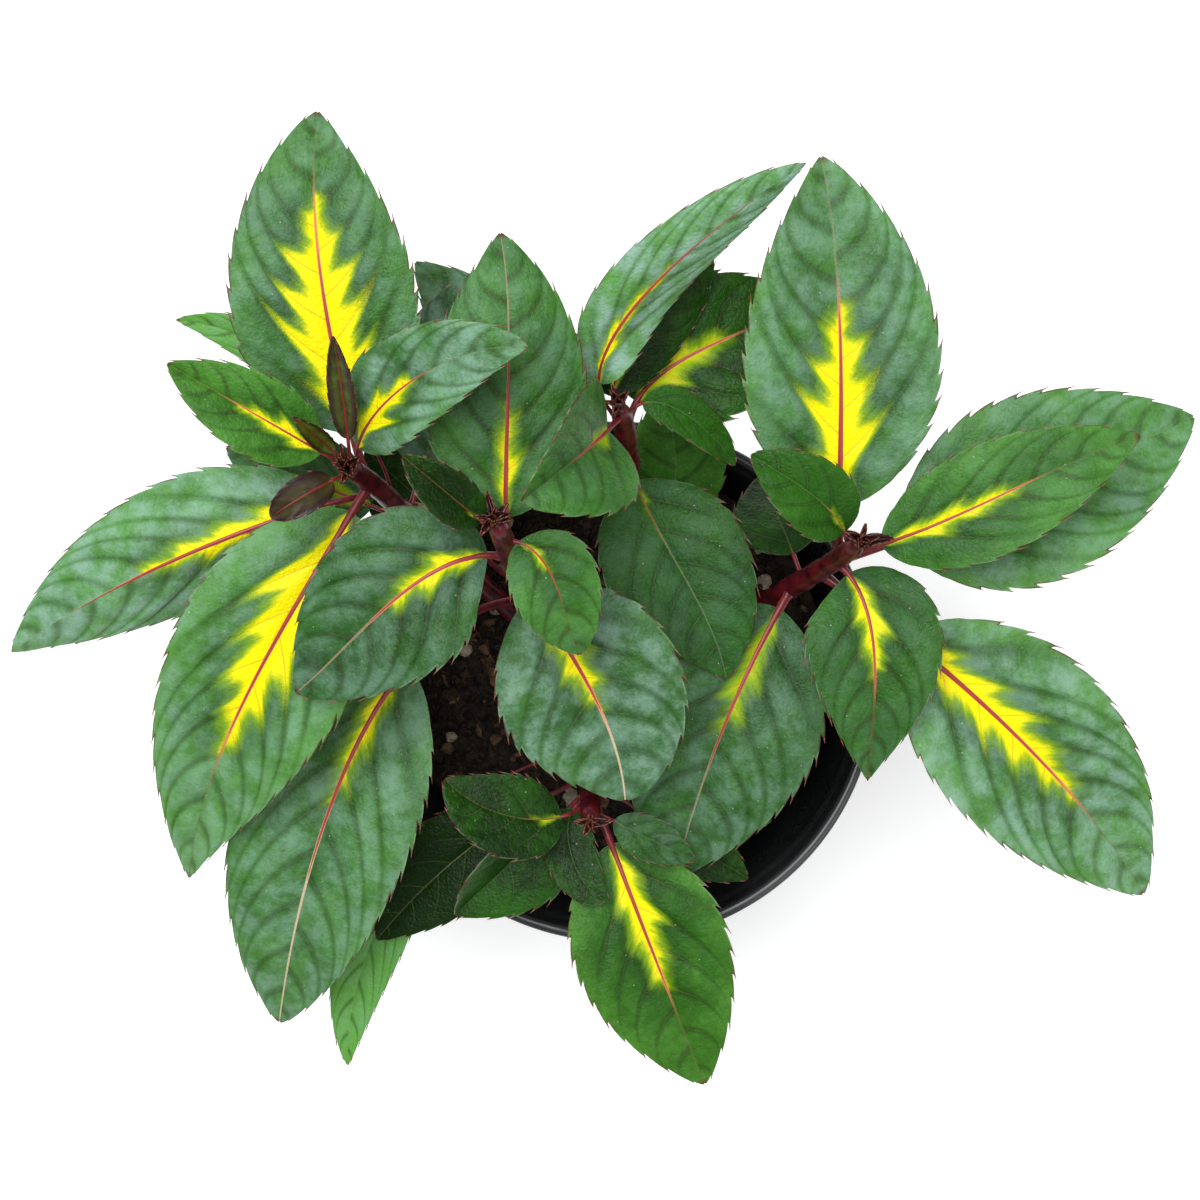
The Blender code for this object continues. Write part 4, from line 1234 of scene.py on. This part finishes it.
def drainTree():
    # a ring of round drain holes through the floor
    tree, given, output = newGeometryTree("drainHoles", [
        ("Holes", "Int"), ("Circle", "Float"), ("Hole radius", "Float"), ("Material", "Material")])
    ring = firstOutput(tree, "GeometryNodeMeshCircle", inputs={
        "Vertices": given["Holes"], "Radius": given["Circle"]})
    punch = firstOutput(tree, "GeometryNodeMeshCylinder", inputs={
        "Vertices": 32, "Radius": given["Hole radius"], "Depth": 0.02})
    punches = firstOutput(tree, "GeometryNodeInstanceOnPoints", inputs={"Points": ring, "Instance": punch})
    real = firstOutput(tree, "GeometryNodeRealizeInstances", inputs={0: punches})
    cut = firstOutput(tree, "GeometryNodeMeshBoolean", {"operation": "DIFFERENCE", "solver": "EXACT"}, {
        "Mesh 1": given["Geometry"], "Mesh 2": real})
    endTree(tree, cut, given["Material"], output)
    return tree


def makePot(material):
    bm = bmesh.new()
    profile = [bm.verts.new((r, 0.0, z)) for r, z in potProfile()]
    edges = [bm.edges.new(pair) for pair in zip(profile, profile[1:])]
    bmesh.ops.spin(
        bm, geom=profile + edges, cent=(0, 0, 0), axis=(0, 0, 1), angle=math.tau, steps=potBuild["steps"])
    bmesh.ops.remove_doubles(bm, verts=bm.verts, dist=0.00002)
    bmesh.ops.recalc_face_normals(bm, faces=bm.faces)
    mesh = bpy.data.meshes.new("potBlank")
    bm.to_mesh(mesh)
    bm.free()
    made = grownMesh("nurseryPot", mesh, drainTree(), {**drainBuild, "Material": material})
    made.shade_smooth()
    made.set_sharp_from_angle(angle=math.radians(potBuild["sharpAngle"]))
    addPiece("nurseryPot", made, ["pot"])


makePot(plasticMaterial())
print("pot made")


# floor, light and camera

studio = {
    "floorSize": 8.0,
    "floorColour": (1.0, 1.0, 1.0, 1),
    "floorGlow": 0.30,
    "worldColour": (0.97, 0.99, 1.0, 1),
    "worldStrength": 0.38,
    "key": {"place": (-0.30, 0.35, 1.60), "size": 1.2, "power": 25.0, "colour": (0.97, 0.99, 1.0)},
    "fill": {"place": (0.9, -0.7, 1.2), "size": 0.9, "power": 5.0, "colour": (1.0, 0.98, 0.95)},
    "cameraPlace": (-0.0052, 0.0251, 0.705),
    "lens": 56.76,
    "sensorWidth": 36.0,
    "clipStart": 0.01,
    "lightAim": (0, 0, 0.15),
}


def makeStudio():
    half = studio["floorSize"] / 2
    corners = [(-half, -half, 0), (half, -half, 0), (half, half, 0), (-half, half, 0)]
    floor = linkObject("floor", meshFrom("floor", corners, [(0, 1, 2, 3)]))
    sheet = ShaderSheet("paleFloor")
    floor.data.materials.append(sheet.finish(
        studio["floorColour"], 0.9, Emission_Strength=studio["floorGlow"]))
    world = bpy.data.worlds.new("studioWorld")
    world.use_nodes = True
    background = world.node_tree.nodes["Background"]
    background.inputs["Color"].default_value = studio["worldColour"]
    background.inputs["Strength"].default_value = studio["worldStrength"]
    bpy.context.scene.world = world
    for name in ("key", "fill"):
        light = studio[name]
        lamp = bpy.data.lights.new(name, "AREA")
        lamp.shape = "DISK"
        lamp.size = light["size"]
        lamp.energy = light["power"]
        lamp.color = light["colour"]
        holder = linkObject(name, lamp)
        holder.location = light["place"]
        holder.rotation_mode = "QUATERNION"
        aim = Vector(studio["lightAim"]) - Vector(light["place"])
        holder.rotation_quaternion = aim.to_track_quat("-Z", "Y")


def makeCamera():
    camera = linkObject("camera", bpy.data.cameras.new("camera"))
    camera.data.lens = studio["lens"]
    camera.data.sensor_width = studio["sensorWidth"]
    camera.data.clip_start = studio["clipStart"]
    camera.location = studio["cameraPlace"]
    bpy.context.scene.camera = camera


makeStudio()
makeCamera()
bpy.context.scene.view_settings.view_transform = "Standard"
print("studio made")
